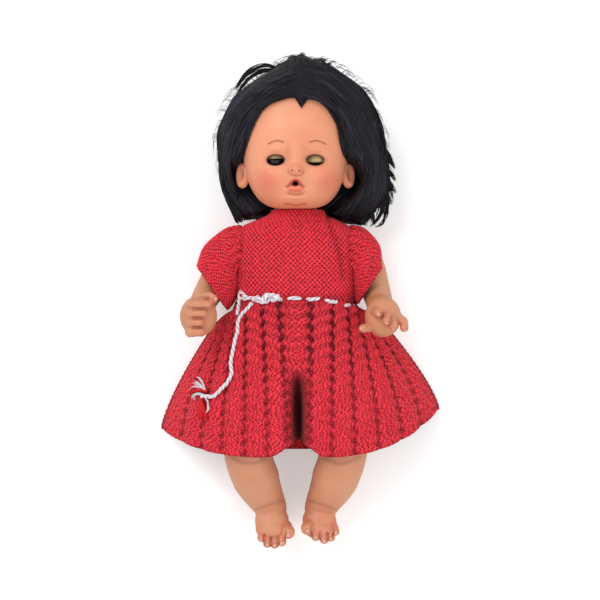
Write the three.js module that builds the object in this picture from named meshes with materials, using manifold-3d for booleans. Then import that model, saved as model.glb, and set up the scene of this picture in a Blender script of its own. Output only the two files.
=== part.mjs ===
// A sleeping-eye vinyl baby doll in a knitted dress, lying on its back as it was photographed.
// Millimetres. +Z is up, out of the doll's front, +Y runs to its crown and +X to its left hand.
// The origin is on the surface that the doll lies on, under the middle of the skirt's back.
import * as THREE from "three";
import { mergeVertices } from "three/addons/utils/BufferGeometryUtils.js";
import Module from "manifold-3d";

const wasm = await Module();
wasm.setup();

// Fits and walls
const FIT = 0.4; // gap between pieces that seat on each other
const RUNNING = 0.3; // gap between a stem and the hole it turns in
const VINYL = 3; // wall of the hollow mouldings
const KNIT = 3; // thickness of the knitted fabric
const SLACK = 0.12; // how far a facet may stand off the true form

// Torso: sections along the spine, [y, half width, half depth]
const TORSO_SECTIONS = [
  [-32, 9, 11],
  [-25, 23, 22],
  [-10, 35, 29],
  [8, 43, 31],
  [28, 45, 31],
  [62, 43.5, 30],
  [84, 44, 29],
  [98, 42, 26],
  [106, 32, 23],
  [112, 23, 21],
];
const TORSO_SQUARENESS = 2.4; // superellipse power of a section
const TORSO_HALF_DEPTH = Math.max(...TORSO_SECTIONS.map((s) => s[2]));
const TORSO_Z = KNIT + FIT + TORSO_HALF_DEPTH; // height of the spine line
const TORSO_TOP = TORSO_SECTIONS.at(-1)[0];

// Plug joints: a stem turns in a socket plate and a flange behind the plate holds it
const FLANGE = 2.5; // thickness of a flange
const FLANGE_LIP = 2.5; // how far a flange stands past its stem
const NECK_STEM_R = 12.5;
const ARM_STEM_R = 8;
const LEG_STEM_R = 10.5;
const VENT_R = 5; // hole through a stem into the hollow limb

// Joint centres
const SHOULDER_Y = 88;
const SHOULDER_SEAT_X = 43;
const HIP_Y = -2;
const HIP_SEAT_X = 26;
const NECK_Z = TORSO_Z + 3;

// Head
const HEAD_Y = 176.5; // centre of the skull
const HEAD_Z = 52;
const HEAD_HALF_WIDTH = 45;
const HEAD_HALF_LENGTH = 57.5;
const FACE_DEPTH = 45; // centre of the skull to the brow
const SKULL_DEPTH = 44; // centre of the skull to the back
const NECK_R = 19;

// Face, in the head's own frame: x across, y up the face
const EYE_X = 16.2;
const EYE_Y = -19.5;
const NOSE_Y = -28;
const MOUTH_Y = -38;
const MOUTH_R = 2;
const CHIN_Y = -53;
const EAR_Y = -29;
const EAR_HALF_HEIGHT = 11;

// Sleeping eyes
const EYEBALL_R = 9;
const LID_WALL = 0.4;
const EYE_RUN = 0.5; // clearance of the moving eye inside its case
const CASE_WALL = 0.9;
const EYE_OPENING = [7.2, 4.4]; // half width and half height
const EYE_DEPTH = 12; // centre of the eyeball under the face
const IRIS_R = 4.6;
const EYE_PIN_R = 0.6;
const LID_EDGE_OPEN = 16; // degrees above straight ahead when the eye is open
const EYE_REST = { left: 26.5, right: 8 }; // degrees each eye has closed from open
const EYE_CLOSE_TRAVEL = 32;
const WEIGHT_REACH = 17; // eyeball centre to the middle of the weight
const WEIGHT_DROP = 34; // degrees the weight hangs below straight back, so that the eye shuts when the doll lies down

// Drinking tube from the mouth into the body
const TUBE_R = 4;
const TUBE_BORE_R = 2.2;
const TUBE_END_Y = 72;

// Limbs: radius at each point of the centre line
const SHOULDER_R = 15;
const ARM_SPREAD = { left: 29, right: 37 }; // sideways reach, seat to hand
const ARM_CLEAR = 20; // sideways reach where the upper arm passes the bodice
const ARM_DROP = 54; // shoulder to wrist along the body
const ARM_LIFT = 24; // shoulder to wrist upwards
const ELBOW_R = 13;
const WRIST_R = 10.5;
const FINGER_R = 4.3;
const THIGH_R = 20.5;
const KNEE_R = 20;
const CALF_R = 20;
const ANKLE_R = 13.5;
const KNEE_Y = -82;
const KNEE_X = 41;
const KNEE_LIFT = 15; // knee above the hip
const ANKLE_Y = -136;
const ANKLE_X = 21;
const HEEL_R = 12;
const FOOT_HALF_WIDTH = 13.5;
const TOE_R = 4;

// Dress
const WAIST_Y = 43.5;
const CORD_D = 3.2; // the crocheted cord
const COLLAR_Y = 118;
const ARMHOLE_R = 21.5;
const SLEEVE_REACH = 53; // shoulder to the low end of the cuff along the body
const SKIRT_HALF_WIDTH = 119;
const SKIRT_LENGTH = 127; // waist to hem at the front
const HEM_RISE = 26; // how much higher the hem is at the sides
const SKIRT_RIBS = 16;
const RIB_HEIGHT = 2.2;
const VALLEY_FLOOR = 9; // height of the fold between the legs

const hipZ = TORSO_Z;
const shoulderZ = TORSO_Z + 1;
const waistGap = CORD_D / 2 + FIT;

const V = (x, y, z) => new THREE.Vector3(x, y, z);
const X_AXIS = V(1, 0, 0);
const Y_AXIS = V(0, 1, 0);
const Z_AXIS = V(0, 0, 1);
const lerp = THREE.MathUtils.lerp;
const smooth = THREE.MathUtils.smoothstep;
const rad = THREE.MathUtils.degToRad;
const range = (n) => [...Array(n).keys()];

// Materials, from the photograph
const finish = (color, roughness, metalness = 0) =>
  new THREE.MeshStandardMaterial({ color, roughness, metalness });
const skinVinyl = finish(0xd98f68, 0.5);
const bodyVinyl = finish(0xd08a64, 0.55);
const hairNylon = finish(0x15141a, 0.45);
const redKnit = finish(0xb81626, 0.9);
const whiteYarn = finish(0xf1ebee, 0.9);
const eyeWhite = finish(0xece6dc, 0.25);
const irisDark = finish(0x1c1512, 0.15);
const lidTan = finish(0xa8875c, 0.5);
const lashBlack = finish(0x0e0c0c, 0.6);
const casePlastic = finish(0xd9d2c4, 0.5);
const steel = finish(0x9a9a9c, 0.35, 0.9);
const clearTube = finish(0xe6e2d6, 0.4);

// A closed BufferGeometry as a solid, turned to face outwards.
function solidOf(geometry) {
  const bare = geometry.clone();
  bare.deleteAttribute("normal");
  bare.deleteAttribute("uv");
  const merged = mergeVertices(bare, 1e-4);
  const vertProperties = new Float32Array(merged.attributes.position.array);
  const triVerts = new Uint32Array(merged.index.array);
  const make = () => new wasm.Manifold(new wasm.Mesh({ numProp: 3, vertProperties, triVerts }));
  const first = make();
  if (first.volume() > 0) return first;
  for (let i = 0; i < triVerts.length; i += 3) {
    [triVerts[i + 1], triVerts[i + 2]] = [triVerts[i + 2], triVerts[i + 1]];
  }
  return make();
}

// A solid as a named mesh, without the slivers that cuts leave.
function piece(name, solid, material, slack = SLACK) {
  const made = solid.asOriginal().simplify(slack).getMesh();
  const stride = made.numProp;
  const position = new Float32Array(made.numVert * 3);
  for (let i = 0; i < made.numVert; i++) {
    position.set(made.vertProperties.subarray(i * stride, i * stride + 3), i * 3);
  }
  const geometry = new THREE.BufferGeometry();
  geometry.setAttribute("position", new THREE.BufferAttribute(position, 3));
  geometry.setIndex(new THREE.BufferAttribute(new Uint32Array(made.triVerts), 1));
  geometry.computeVertexNormals();
  const mesh = new THREE.Mesh(geometry, material);
  mesh.name = name;
  return mesh;
}

// Rings of points, each closed on itself, skinned into one closed solid with flat ends.
function skin(rings) {
  const count = rings[0].length;
  const points = rings.flat();
  const index = [];
  for (let r = 0; r + 1 < rings.length; r++) {
    for (let c = 0; c < count; c++) {
      const a = r * count + c;
      const b = r * count + ((c + 1) % count);
      index.push(a, b, a + count, b, b + count, a + count);
    }
  }
  [0, rings.length - 1].forEach((r, end) => {
    const middle = rings[r].reduce((sum, p) => sum.add(p), V(0, 0, 0)).divideScalar(count);
    const hub = points.push(middle) - 1;
    for (let c = 0; c < count; c++) {
      const a = r * count + c;
      const b = r * count + ((c + 1) % count);
      index.push(...(end ? [a, b, hub] : [b, a, hub]));
    }
  });
  const geometry = new THREE.BufferGeometry().setFromPoints(points);
  geometry.setIndex(index);
  return solidOf(geometry);
}

// A sheet of rows of points with a thickness: each point has a face point and a back point.
function sheet(face, back) {
  const columns = face[0].length;
  const points = [...face.flat(), ...back.flat()];
  const under = face.length * columns;
  const index = [];
  const quad = (a, b, c, d) => index.push(a, b, c, b, d, c);
  for (let r = 0; r + 1 < face.length; r++) {
    for (let c = 0; c + 1 < columns; c++) {
      const a = r * columns + c;
      quad(a, a + 1, a + columns, a + columns + 1);
      quad(under + a + 1, under + a, under + a + columns + 1, under + a + columns);
    }
    const left = r * columns;
    const right = left + columns - 1;
    quad(under + left, left, under + left + columns, left + columns);
    quad(right, under + right, right + columns, under + right + columns);
  }
  const last = (face.length - 1) * columns;
  for (let c = 0; c + 1 < columns; c++) {
    quad(under + c, under + c + 1, c, c + 1);
    quad(last + c, last + c + 1, under + last + c, under + last + c + 1);
  }
  const geometry = new THREE.BufferGeometry().setFromPoints(points);
  geometry.setIndex(index);
  return solidOf(geometry);
}

// One ring of a superellipse with half axes a along u and b along v.
function ring(centre, u, v, a, b, sides, power = 2) {
  const pull = (value) => Math.sign(value) * Math.abs(value) ** (2 / power);
  return range(sides).map((i) => {
    const angle = (2 * Math.PI * i) / sides;
    return centre
      .clone()
      .addScaledVector(u, a * pull(Math.cos(angle)))
      .addScaledVector(v, b * pull(Math.sin(angle)));
  });
}

// A limb: a round section carried along a smooth centre line, with half-round ends.
// points are the centre line, sizes the half axes there, and across the direction of the first half axis.
function limb({ points, sizes, across, sides = 12, steps = 10, round = [true, true], grow = 0 }) {
  const line = new THREE.CatmullRomCurve3(points, false, "centripetal");
  const girth = new THREE.CatmullRomCurve3(
    sizes.map((s) => (Array.isArray(s) ? V(s[0], s[1], 0) : V(s, s, 0))),
    false,
    "centripetal",
  );
  const at = (t, along, shrink) => {
    const tangent = line.getTangent(t);
    const v = V(0, 0, 0).crossVectors(tangent, across).normalize();
    const u = V(0, 0, 0).crossVectors(v, tangent).normalize();
    const size = girth.getPoint(t);
    const a = size.x + grow;
    const b = size.y + grow;
    const centre = line.getPoint(t).addScaledVector(tangent, along * Math.min(a, b));
    return ring(centre, u, v, a * shrink, b * shrink, sides);
  };
  const capAngles = [65, 33].map(rad);
  const start = round[0] ? capAngles.map((g) => at(0, -Math.sin(g), Math.cos(g))) : [];
  const middle = range(steps + 1).map((i) => at(i / steps, 0, 1));
  const end = round[1] ? capAngles.map((g) => at(1, Math.sin(g), Math.cos(g))).reverse() : [];
  return skin([...start, ...middle, ...end]);
}

// A cylinder from one point to another.
function rod(from, to, radius, sides = 16, endRadius = radius) {
  const axis = to.clone().sub(from);
  const geometry = new THREE.CylinderGeometry(endRadius, radius, axis.length(), sides);
  const turn = new THREE.Quaternion().setFromUnitVectors(Y_AXIS, axis.clone().normalize());
  geometry.applyQuaternion(turn);
  geometry.translate(...from.clone().add(to).multiplyScalar(0.5).toArray());
  return solidOf(geometry);
}

function ball(radius, across = 14, up = 8) {
  return solidOf(new THREE.SphereGeometry(radius, across, up));
}

// The largest of the bodies that a cut leaves.
function largest(solid) {
  return solid.decompose().sort((a, b) => b.volume() - a.volume())[0];
}

function box(from, to) {
  const size = to.clone().sub(from);
  const geometry = new THREE.BoxGeometry(size.x, size.y, size.z);
  geometry.translate(...from.clone().add(to).multiplyScalar(0.5).toArray());
  return solidOf(geometry);
}

// Stem and flange that plug a limb into its socket plate. The seat is at the origin, and inward points into the torso.
function plug(inward, stemRadius, root) {
  const along = (d) => inward.clone().multiplyScalar(d);
  const behindPlate = VINYL + 2 * RUNNING;
  return rod(along(-root), along(behindPlate + FLANGE / 2), stemRadius)
    .add(rod(along(behindPlate), along(behindPlate + FLANGE), stemRadius + FLANGE_LIP));
}

// Torso

// The torso's section at y: half width and half depth, by straight steps between the listed sections.
function torsoSection(y) {
  const above = TORSO_SECTIONS.findIndex((s) => s[0] >= y);
  if (above === 0) return TORSO_SECTIONS[0].slice(1);
  if (above < 0) return TORSO_SECTIONS.at(-1).slice(1);
  const [low, high] = [TORSO_SECTIONS[above - 1], TORSO_SECTIONS[above]];
  const t = (y - low[0]) / (high[0] - low[0]);
  return [lerp(low[1], high[1], t), lerp(low[2], high[2], t)];
}

// A point on the torso's section at y, turned from straight ahead, grown by a margin.
function torsoRim(y, turn, grow) {
  const [width, depth] = torsoSection(y);
  const pull = (value) => Math.sign(value) * Math.abs(value) ** (2 / TORSO_SQUARENESS);
  return V((width + grow) * pull(Math.sin(turn)), y, TORSO_Z + (depth + grow) * pull(Math.cos(turn)));
}

// The torso's form from one height to another, grown by a margin on every side.
function torsoForm(grow, from = TORSO_SECTIONS[0][0], to = TORSO_TOP, sides = 20) {
  const inner = TORSO_SECTIONS.map((s) => s[0]).filter((y) => y > from + 1 && y < to - 1);
  return skin(
    [from, ...inner, to].map((y) => {
      const [width, depth] = torsoSection(y);
      const centre = V(0, y + grow * (y === to ? 1 : y === from ? -1 : 0), TORSO_Z);
      return ring(centre, X_AXIS, Z_AXIS, width + grow, depth + grow, sides, TORSO_SQUARENESS);
    }),
  );
}

// Room that the arms and legs need beside the torso, with its faces moved towards the torso by a margin.
function limbRoom(margin) {
  const far = 120;
  return [1, -1].flatMap((side) => {
    const slab = (x, from, to) => {
      const [near, wide] = [side * (x - margin), side * far];
      return box(V(Math.min(near, wide), from, -far), V(Math.max(near, wide), to, far));
    };
    const armLow = SHOULDER_Y - SHOULDER_R - 4;
    const legHigh = HIP_Y + THIGH_R + 5;
    return [slab(SHOULDER_SEAT_X, armLow - margin, far), slab(HIP_SEAT_X, -far, legHigh + margin)];
  });
}

function makeTorso() {
  const cut = (solid, tools) => tools.reduce((left, tool) => left.subtract(tool), solid);
  const cavity = cut(torsoForm(-VINYL, TORSO_SECTIONS[0][0], TORSO_TOP, 12), limbRoom(VINYL));
  let shell = cut(torsoForm(0), limbRoom(0)).subtract(cavity);
  const hole = (seat, inward, radius) => {
    const at = (d) => seat.clone().addScaledVector(inward, d);
    const flangeRoom = rod(at(VINYL), at(VINYL + FLANGE + 3 * RUNNING), radius + FLANGE_LIP + RUNNING);
    shell = shell.subtract(rod(at(-1), at(VINYL + 1), radius + RUNNING)).subtract(flangeRoom);
  };
  hole(V(0, TORSO_TOP, NECK_Z), V(0, -1, 0), NECK_STEM_R);
  for (const side of [1, -1]) {
    hole(V(side * SHOULDER_SEAT_X, SHOULDER_Y, shoulderZ), V(-side, 0, 0), ARM_STEM_R);
    hole(V(side * HIP_SEAT_X, HIP_Y, hipZ), V(-side, 0, 0), LEG_STEM_R);
  }
  return piece("torso_shell", shell, bodyVinyl);
}

// Head

// Bumps and hollows of the face: [x, y, half width, half height, rise towards the front].
const FACE_FEATURES = [
  [EYE_X, EYE_Y, 10, 8, -3.2],
  [-EYE_X, EYE_Y, 10, 8, -3.2],
  [0, NOSE_Y, 6.2, 5.5, 8.5],
  [0, NOSE_Y + 10, 4.5, 8, 1.8],
  [24, MOUTH_Y + 6, 14, 13, 4],
  [-24, MOUTH_Y + 6, 14, 13, 4],
  [0, MOUTH_Y - 0.5, 13, 9, 4.2],
  [0, MOUTH_Y + 4.2, 6.5, 2.6, 1.8],
  [0, MOUTH_Y - 5, 6.5, 2.6, 2.2],
  [0, MOUTH_Y - 9.5, 9, 2.2, -1.2],
  [0, CHIN_Y + 3, 12, 6.5, 5],
];

// Height of the face features above the plain skull at x, y of the head.
function faceRise(x, y) {
  return FACE_FEATURES.reduce(
    (sum, [fx, fy, w, h, rise]) => sum + rise * Math.exp(-(((x - fx) / w) ** 2) - ((y - fy) / h) ** 2),
    0,
  );
}

// A point of the head: turn 0 is straight ahead, climb runs from the chin to the crown, grow lifts it off the skull.
function headPoint(turn, climb, grow = 0) {
  const up = Math.sin(climb);
  const round = Math.cos(climb);
  const ahead = Math.cos(turn);
  const square = (value) => Math.sign(value) * Math.abs(value) ** (2 / 2.2);
  const depth = ahead > 0 ? FACE_DEPTH * round ** 0.6 : SKULL_DEPTH * round ** 0.85;
  const x = HEAD_HALF_WIDTH * round ** 0.75 * square(Math.sin(turn));
  const y = HEAD_HALF_LENGTH * up;
  const plain = V(x, y, depth * square(ahead));
  plain.z += faceRise(x, y) * smooth(ahead, 0.1, 0.5);
  return plain.addScaledVector(plain.clone().normalize(), grow);
}

// The head's form on a grid whose columns crowd together on the face.
function headForm(grow, columns, rows) {
  const turnOf = (i) => {
    const t = (2 * Math.PI * i) / columns;
    return t - 0.45 * Math.sin(t);
  };
  return skin(
    range(rows - 1).map((r) => {
      const climb = -Math.PI / 2 + (Math.PI * (r + 1)) / rows;
      return range(columns).map((c) => headPoint(turnOf(c), climb, grow));
    }),
  );
}

// Height of the face's front surface at x, y, found by following the grid's own formula.
function faceFront(x, y) {
  const climb = Math.asin(y / HEAD_HALF_LENGTH);
  const width = HEAD_HALF_WIDTH * Math.cos(climb) ** 0.75;
  return headPoint(Math.asin((Math.abs(x) / width) ** 1.1), climb).z;
}

const eyeZ = faceFront(EYE_X, EYE_Y) - EYE_DEPTH;
const lidOuter = EYEBALL_R + FIT / 2 + LID_WALL;
const caseInner = lidOuter + EYE_RUN;
const caseOuter = caseInner + CASE_WALL;
const eyeCentre = (side) => V(side * EYE_X, EYE_Y, eyeZ);
const headNeckZ = NECK_Z - HEAD_Z;

// An ear: a flat oval shell with a hollow bowl, leaning out from the side of the head.
function ear(side, grow = 0) {
  const oval = (width, height, depth) => {
    const g = new THREE.SphereGeometry(1, 10, 8);
    g.scale(width, height, depth);
    g.rotateY(side * rad(28));
    return g;
  };
  const rim = oval(6.5 + grow, EAR_HALF_HEIGHT + grow, 4.5 + grow);
  rim.translate(side * (HEAD_HALF_WIDTH - 0.5), EAR_Y, 2);
  if (grow > 0) return solidOf(rim);
  const bowl = oval(3.4, EAR_HALF_HEIGHT * 0.62, 3);
  bowl.translate(side * (HEAD_HALF_WIDTH + 2.5), EAR_Y + 1, 6);
  return solidOf(rim).subtract(solidOf(bowl));
}

function makeHead() {
  const seatY = TORSO_TOP + FIT - HEAD_Y;
  const neckAt = (y) => V(0, y, headNeckZ);
  const neckTop = -HEAD_HALF_LENGTH + 14;
  const cavity = headForm(-VINYL, 16, 11);
  let head = headForm(0, 28, 21)
    .add(rod(neckAt(seatY), neckAt(neckTop), NECK_R))
    .add(ear(1))
    .add(ear(-1))
    .subtract(cavity)
    .subtract(rod(neckAt(seatY + VINYL), neckAt(neckTop + 2), NECK_R - VINYL));
  const neckPlug = plug(V(0, -1, 0), NECK_STEM_R, VINYL).translate([0, seatY, headNeckZ]);
  head = head.add(neckPlug);
  const bottom = seatY - VINYL - FLANGE - 2;
  head = head.subtract(rod(neckAt(bottom), neckAt(seatY + VINYL + 1), NECK_STEM_R - VINYL));
  for (const side of [1, -1]) {
    const c = eyeCentre(side);
    const opening = rod(V(0, 0, 0), V(0, 0, 40), 1, 22).scale([EYE_OPENING[0], EYE_OPENING[1], 1]);
    head = head.subtract(opening.translate(c.toArray()));
    head = head.subtract(ball(caseOuter + RUNNING + 0.2).translate(c.toArray()));
  }
  head = head.subtract(rod(V(0, MOUTH_Y, 10), V(0, MOUTH_Y, FACE_DEPTH + 20), MOUTH_R, 14));
  return piece("head_shell", head, skinVinyl, 0.15);
}

function makeDrinkTube() {
  const inner = faceFront(0, MOUTH_Y) - VINYL;
  const bodyEnd = TUBE_END_Y - HEAD_Y;
  const points = [
    V(0, MOUTH_Y, inner - 7),
    V(0, MOUTH_Y, inner - 14),
    V(0, MOUTH_Y - 9, headNeckZ + 10),
    V(0, MOUTH_Y - 26, headNeckZ),
    V(0, bodyEnd, headNeckZ),
  ];
  const path = { points, across: X_AXIS, sides: 8, steps: 10, round: [false, false] };
  const wall = limb({ ...path, sizes: points.map(() => TUBE_R) });
  const longer = points.map((p) => p.clone());
  longer[0].z += 2;
  longer.at(-1).y -= 2;
  const bore = limb({ ...path, points: longer, sizes: points.map(() => TUBE_BORE_R) });
  const cup = rod(V(0, MOUTH_Y, inner - 8), V(0, MOUTH_Y, inner + 6), TUBE_R + 1.2, 14);
  const cupBore = rod(V(0, MOUTH_Y, inner - 6.5), V(0, MOUTH_Y, inner + 7), TUBE_R - 0.6, 14);
  const shell = headForm(10, 16, 10).subtract(headForm(-VINYL - 2 * FIT, 16, 11));
  const neckWay = rod(V(0, bodyEnd - 5, headNeckZ), V(0, -HEAD_HALF_LENGTH + 20, headNeckZ), NECK_STEM_R - VINYL);
  const tube = wall.add(cup).subtract(cupBore).subtract(bore).subtract(shell.subtract(neckWay));
  return piece("drink_tube", largest(tube), clearTube);
}

// Hair

// Widest reach of the hair at a height: [y, left reach, right reach, top, bottom], in the head's frame.
const HAIR_SECTIONS = [
  [-70, 42, 52, -8, -46],
  [-60, 50, 65, 8, -49],
  [-46, 58, 75, 18, -50],
  [-26, 63, 79, 25, -50.5],
  [-6, 66, 72, 31, -50.5],
  [14, 63, 66, 38, -50],
  [36, 54, 57, 46, -47],
  [54, 42, 43, 41, -40],
  [65, 26, 27, 28, -30],
  [70.5, 12, 12, 14, -16],
];
const FACE_OPENING = [0, -13, 41, 51]; // centre and half axes of the hairline oval

function hairForm() {
  return skin(
    HAIR_SECTIONS.map(([y, left, right, top, bottom]) => {
      const centre = V((right - left) / 2, y, (top + bottom) / 2);
      return ring(centre, X_AXIS, Z_AXIS, (left + right) / 2, (top - bottom) / 2, 24, 2.3);
    }),
  );
}

// Space that the shoulders and collar take under the hair, round the axis that the head turns on.
function shoulderRoom() {
  const at = (r, y) => new THREE.Vector2(r, y - HEAD_Y);
  const deep = 70;
  const profile = [
    at(0, deep),
    at(100, deep),
    at(100, 106.5),
    at(50, 108),
    at(36, 114),
    at(26, COLLAR_Y + 1.5),
    at(0, COLLAR_Y + 1.5),
  ];
  const g = new THREE.LatheGeometry(profile, 20);
  g.translate(0, 0, headNeckZ);
  return solidOf(g);
}

function makeHair() {
  const [cx, cy, w, h] = FACE_OPENING;
  const oval = (y, halfWidth, halfHeight, from) =>
    rod(V(0, 0, from), V(0, 0, 80), 1, 24).scale([halfWidth, halfHeight, 1]).translate([cx, y, 0]);
  const face = oval(cy, w, h, -2).add(oval(EAR_Y - 10, w + 5, h - 14, 0));
  const nape = rod(V(0, -80, headNeckZ), V(0, -40, headNeckZ), NECK_R + FIT);
  const hair = hairForm()
    .subtract(headForm(3 * FIT, 26, 18))
    .subtract(face)
    .subtract(nape)
    .subtract(ear(1, 1.2))
    .subtract(ear(-1, 1.2))
    .subtract(shoulderRoom());
  const half = (side) => box(V(side > 0 ? FIT / 2 : -120, -120, -120), V(side > 0 ? 120 : -FIT / 2, 120, 120));
  const left = piece("hair_left", largest(hair.intersect(half(1))), hairNylon);
  const right = piece("hair_right", largest(hair.intersect(half(-1))), hairNylon);

  const hairline = cy + h;
  const onBrow = (x, y, lift) => V(x, y, faceFront(x, y) + lift);
  const tuft = limb({
    points: [onBrow(5, hairline - 1, 3), onBrow(5, hairline - 5, 2.6), onBrow(4.5, hairline - 9, 2.2)],
    sizes: [[5, 1.8], [4.2, 1.5], [2, 0.9]],
    across: X_AXIS,
    sides: 8,
    steps: 4,
  });
  const forelock = tuft.subtract(hairForm().subtract(face)).subtract(headForm(3 * FIT, 26, 18));
  return [left, right, piece("hair_forelock", largest(forelock), hairNylon)];
}

// Eyes: each turns on its own pin, in its own case, with a weight behind it

// A wedge about the x axis between two angles above straight ahead.
function wedge(fromDeg, toDeg, radius, halfLength) {
  const outline = new THREE.Shape();
  outline.moveTo(0, 0);
  range(5).forEach((i) => {
    const angle = rad(lerp(fromDeg, toDeg, i / 4));
    outline.lineTo(radius * Math.cos(angle), radius * Math.sin(angle));
  });
  outline.closePath();
  const g = new THREE.ExtrudeGeometry(outline, { depth: 2 * halfLength, bevelEnabled: false });
  g.translate(0, 0, -halfLength);
  g.applyMatrix4(new THREE.Matrix4().makeBasis(Z_AXIS, Y_AXIS, V(-1, 0, 0)));
  return solidOf(g);
}

function makeEye(sideName) {
  const side = sideName === "left" ? 1 : -1;
  const pinHole = rod(V(-20, 0, 0), V(20, 0, 0), EYE_PIN_R + RUNNING, 8);
  const irisWell = 7.2;
  const weightStem = 1.3;
  const name = (word) => `${word}_${sideName}`;
  const lidEdge = LID_EDGE_OPEN;

  const globe = ball(EYEBALL_R)
    .subtract(rod(V(0, 0, irisWell), V(0, 0, 12), IRIS_R + RUNNING, 16))
    .subtract(pinHole);
  const iris = ball(EYEBALL_R + 0.05).intersect(rod(V(0, 0, irisWell + RUNNING), V(0, 0, 12), IRIS_R, 16));
  const lid = ball(lidOuter)
    .subtract(ball(lidOuter - LID_WALL))
    .intersect(wedge(lidEdge, 125, 20, 20))
    .subtract(pinHole);

  const lashTip = caseOuter - 0.4;
  const lashHalf = 6.2;
  const fringe = new THREE.Shape();
  const onArc = (r, x) => Math.sqrt(r * r - x * x);
  range(9).forEach((i) => {
    const x = lerp(-lashHalf, lashHalf, i / 8);
    fringe[i ? "lineTo" : "moveTo"](x, onArc(lidOuter + FIT / 2, x));
  });
  range(9).forEach((i) => {
    const x = lerp(lashHalf, -lashHalf, i / 8);
    fringe.lineTo(x, onArc(lashTip - (i % 2) * 0.5, x));
  });
  fringe.closePath();
  const lashGeometry = new THREE.ExtrudeGeometry(fringe, { depth: 0.5, bevelEnabled: false });
  lashGeometry.rotateX(rad(90));
  lashGeometry.rotateX(rad(-lidEdge));
  const lash = solidOf(lashGeometry);

  const stemStart = EYEBALL_R + FIT / 2;
  const weight = rod(V(0, 0, -stemStart), V(0, 0, -WEIGHT_REACH), weightStem, 8)
    .add(ball(4.2, 10, 6).scale([1.1, 1, 0.8]).translate([0, 0, -WEIGHT_REACH]))
    .subtract(ball(stemStart))
    .rotate([-WEIGHT_DROP, 0, 0]);
  const pin = rod(V(-caseOuter + 0.1, 0, 0), V(caseOuter - 0.1, 0, 0), EYE_PIN_R, 6);

  const slotLow = -caseOuter * Math.sin(rad(WEIGHT_DROP + 14));
  const slotHigh = caseOuter * Math.sin(rad(EYE_CLOSE_TRAVEL - WEIGHT_DROP + 14));
  const shellCase = ball(caseOuter)
    .subtract(ball(caseInner))
    .subtract(rod(V(0, 0, 2), V(0, 0, 20), EYE_OPENING[0] + 1, 18))
    .subtract(box(V(-weightStem - 1, slotLow, -20), V(weightStem + 1, slotHigh, -2)))
    .subtract(pinHole);

  const moving = new THREE.Group();
  moving.rotation.x = rad(EYE_REST[sideName]);
  moving.add(piece(name("eyeball"), globe, eyeWhite));
  moving.add(piece(name("iris"), iris, irisDark));
  moving.add(piece(name("eyelid"), lid, lidTan));
  moving.add(piece(name("eyelash"), lash, lashBlack));
  moving.add(piece(name("eye_weight"), weight, steel));
  moving.add(piece(name("eye_pin"), pin, steel));

  const eye = new THREE.Group();
  eye.position.copy(eyeCentre(side));
  eye.add(moving, piece(name("eye_case"), shellCase, casePlastic));
  return eye;
}

// Everything on the torso's side of a limb's seat, in the limb's frame.
function inboard(side) {
  const reach = 80;
  return box(V(-reach, -reach, -reach), V(reach, reach, reach)).translate([side * (FIT - reach), 0, 0]);
}

// Arms

// The arm's centre line from its seat to its wrist, in the shoulder's frame.
function armLine(sideName) {
  const side = sideName === "left" ? 1 : -1;
  const reach = ARM_SPREAD[sideName];
  const at = (out, down, lift) => V(side * out, -down, lift);
  return [
    at(VINYL, 0, 0),
    at(ARM_CLEAR * 0.62, ARM_DROP * 0.08, -1),
    at(ARM_CLEAR, ARM_DROP * 0.34, -3),
    at(lerp(ARM_CLEAR, reach, 0.55), ARM_DROP * 0.66, -1),
    at(lerp(ARM_CLEAR, reach, 0.85), ARM_DROP * 0.85, ARM_LIFT * 0.35),
    at(reach, ARM_DROP, ARM_LIFT),
  ];
}
const reachOfRoot = 9; // how far the plain round root of an arm runs
const ARM_RADII = [SHOULDER_R, SHOULDER_R - 0.5, ELBOW_R + 1, ELBOW_R, ELBOW_R - 1, WRIST_R];

// Fingers of each hand from the wrist: each is a list of centre-line points [out, up the body, lift].
const HANDS = {
  right: {
    palm: { at: [0.5, -5, 9], half: [13.5, 16.5, 12] },
    fingers: range(4).map((i) => {
      const y = 4.5 - 7.6 * i;
      const tip = i === 3 ? 3 : 0;
      return [[10, y, 14], [7, y, 21], [-3 - tip * 0.2, y, 23], [-10 + tip, y, 17]];
    }),
    thumb: [[-3, 10, 10], [-10, 11, 16], [-12.5, 9.5, 20]],
  },
  left: {
    palm: { at: [1.5, -4, 9], half: [15, 13, 14] },
    fingers: [
      [[-5.5, -2, 18], [-5, -4, 24], [-4, -6, 27]],
      [[2.5, -4, 19], [4, -8, 25], [5, -11.5, 27]],
      [[8.5, -6, 18], [10.5, -10.5, 23], [11.5, -14, 24.5]],
      [[12.5, -5, 13], [17.5, -9, 19], [19.5, -13.5, 21.5]],
    ],
    thumb: [[-8.5, -12, 12], [-12.5, -14.5, 17], [-16, -15, 20]],
  },
};

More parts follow.
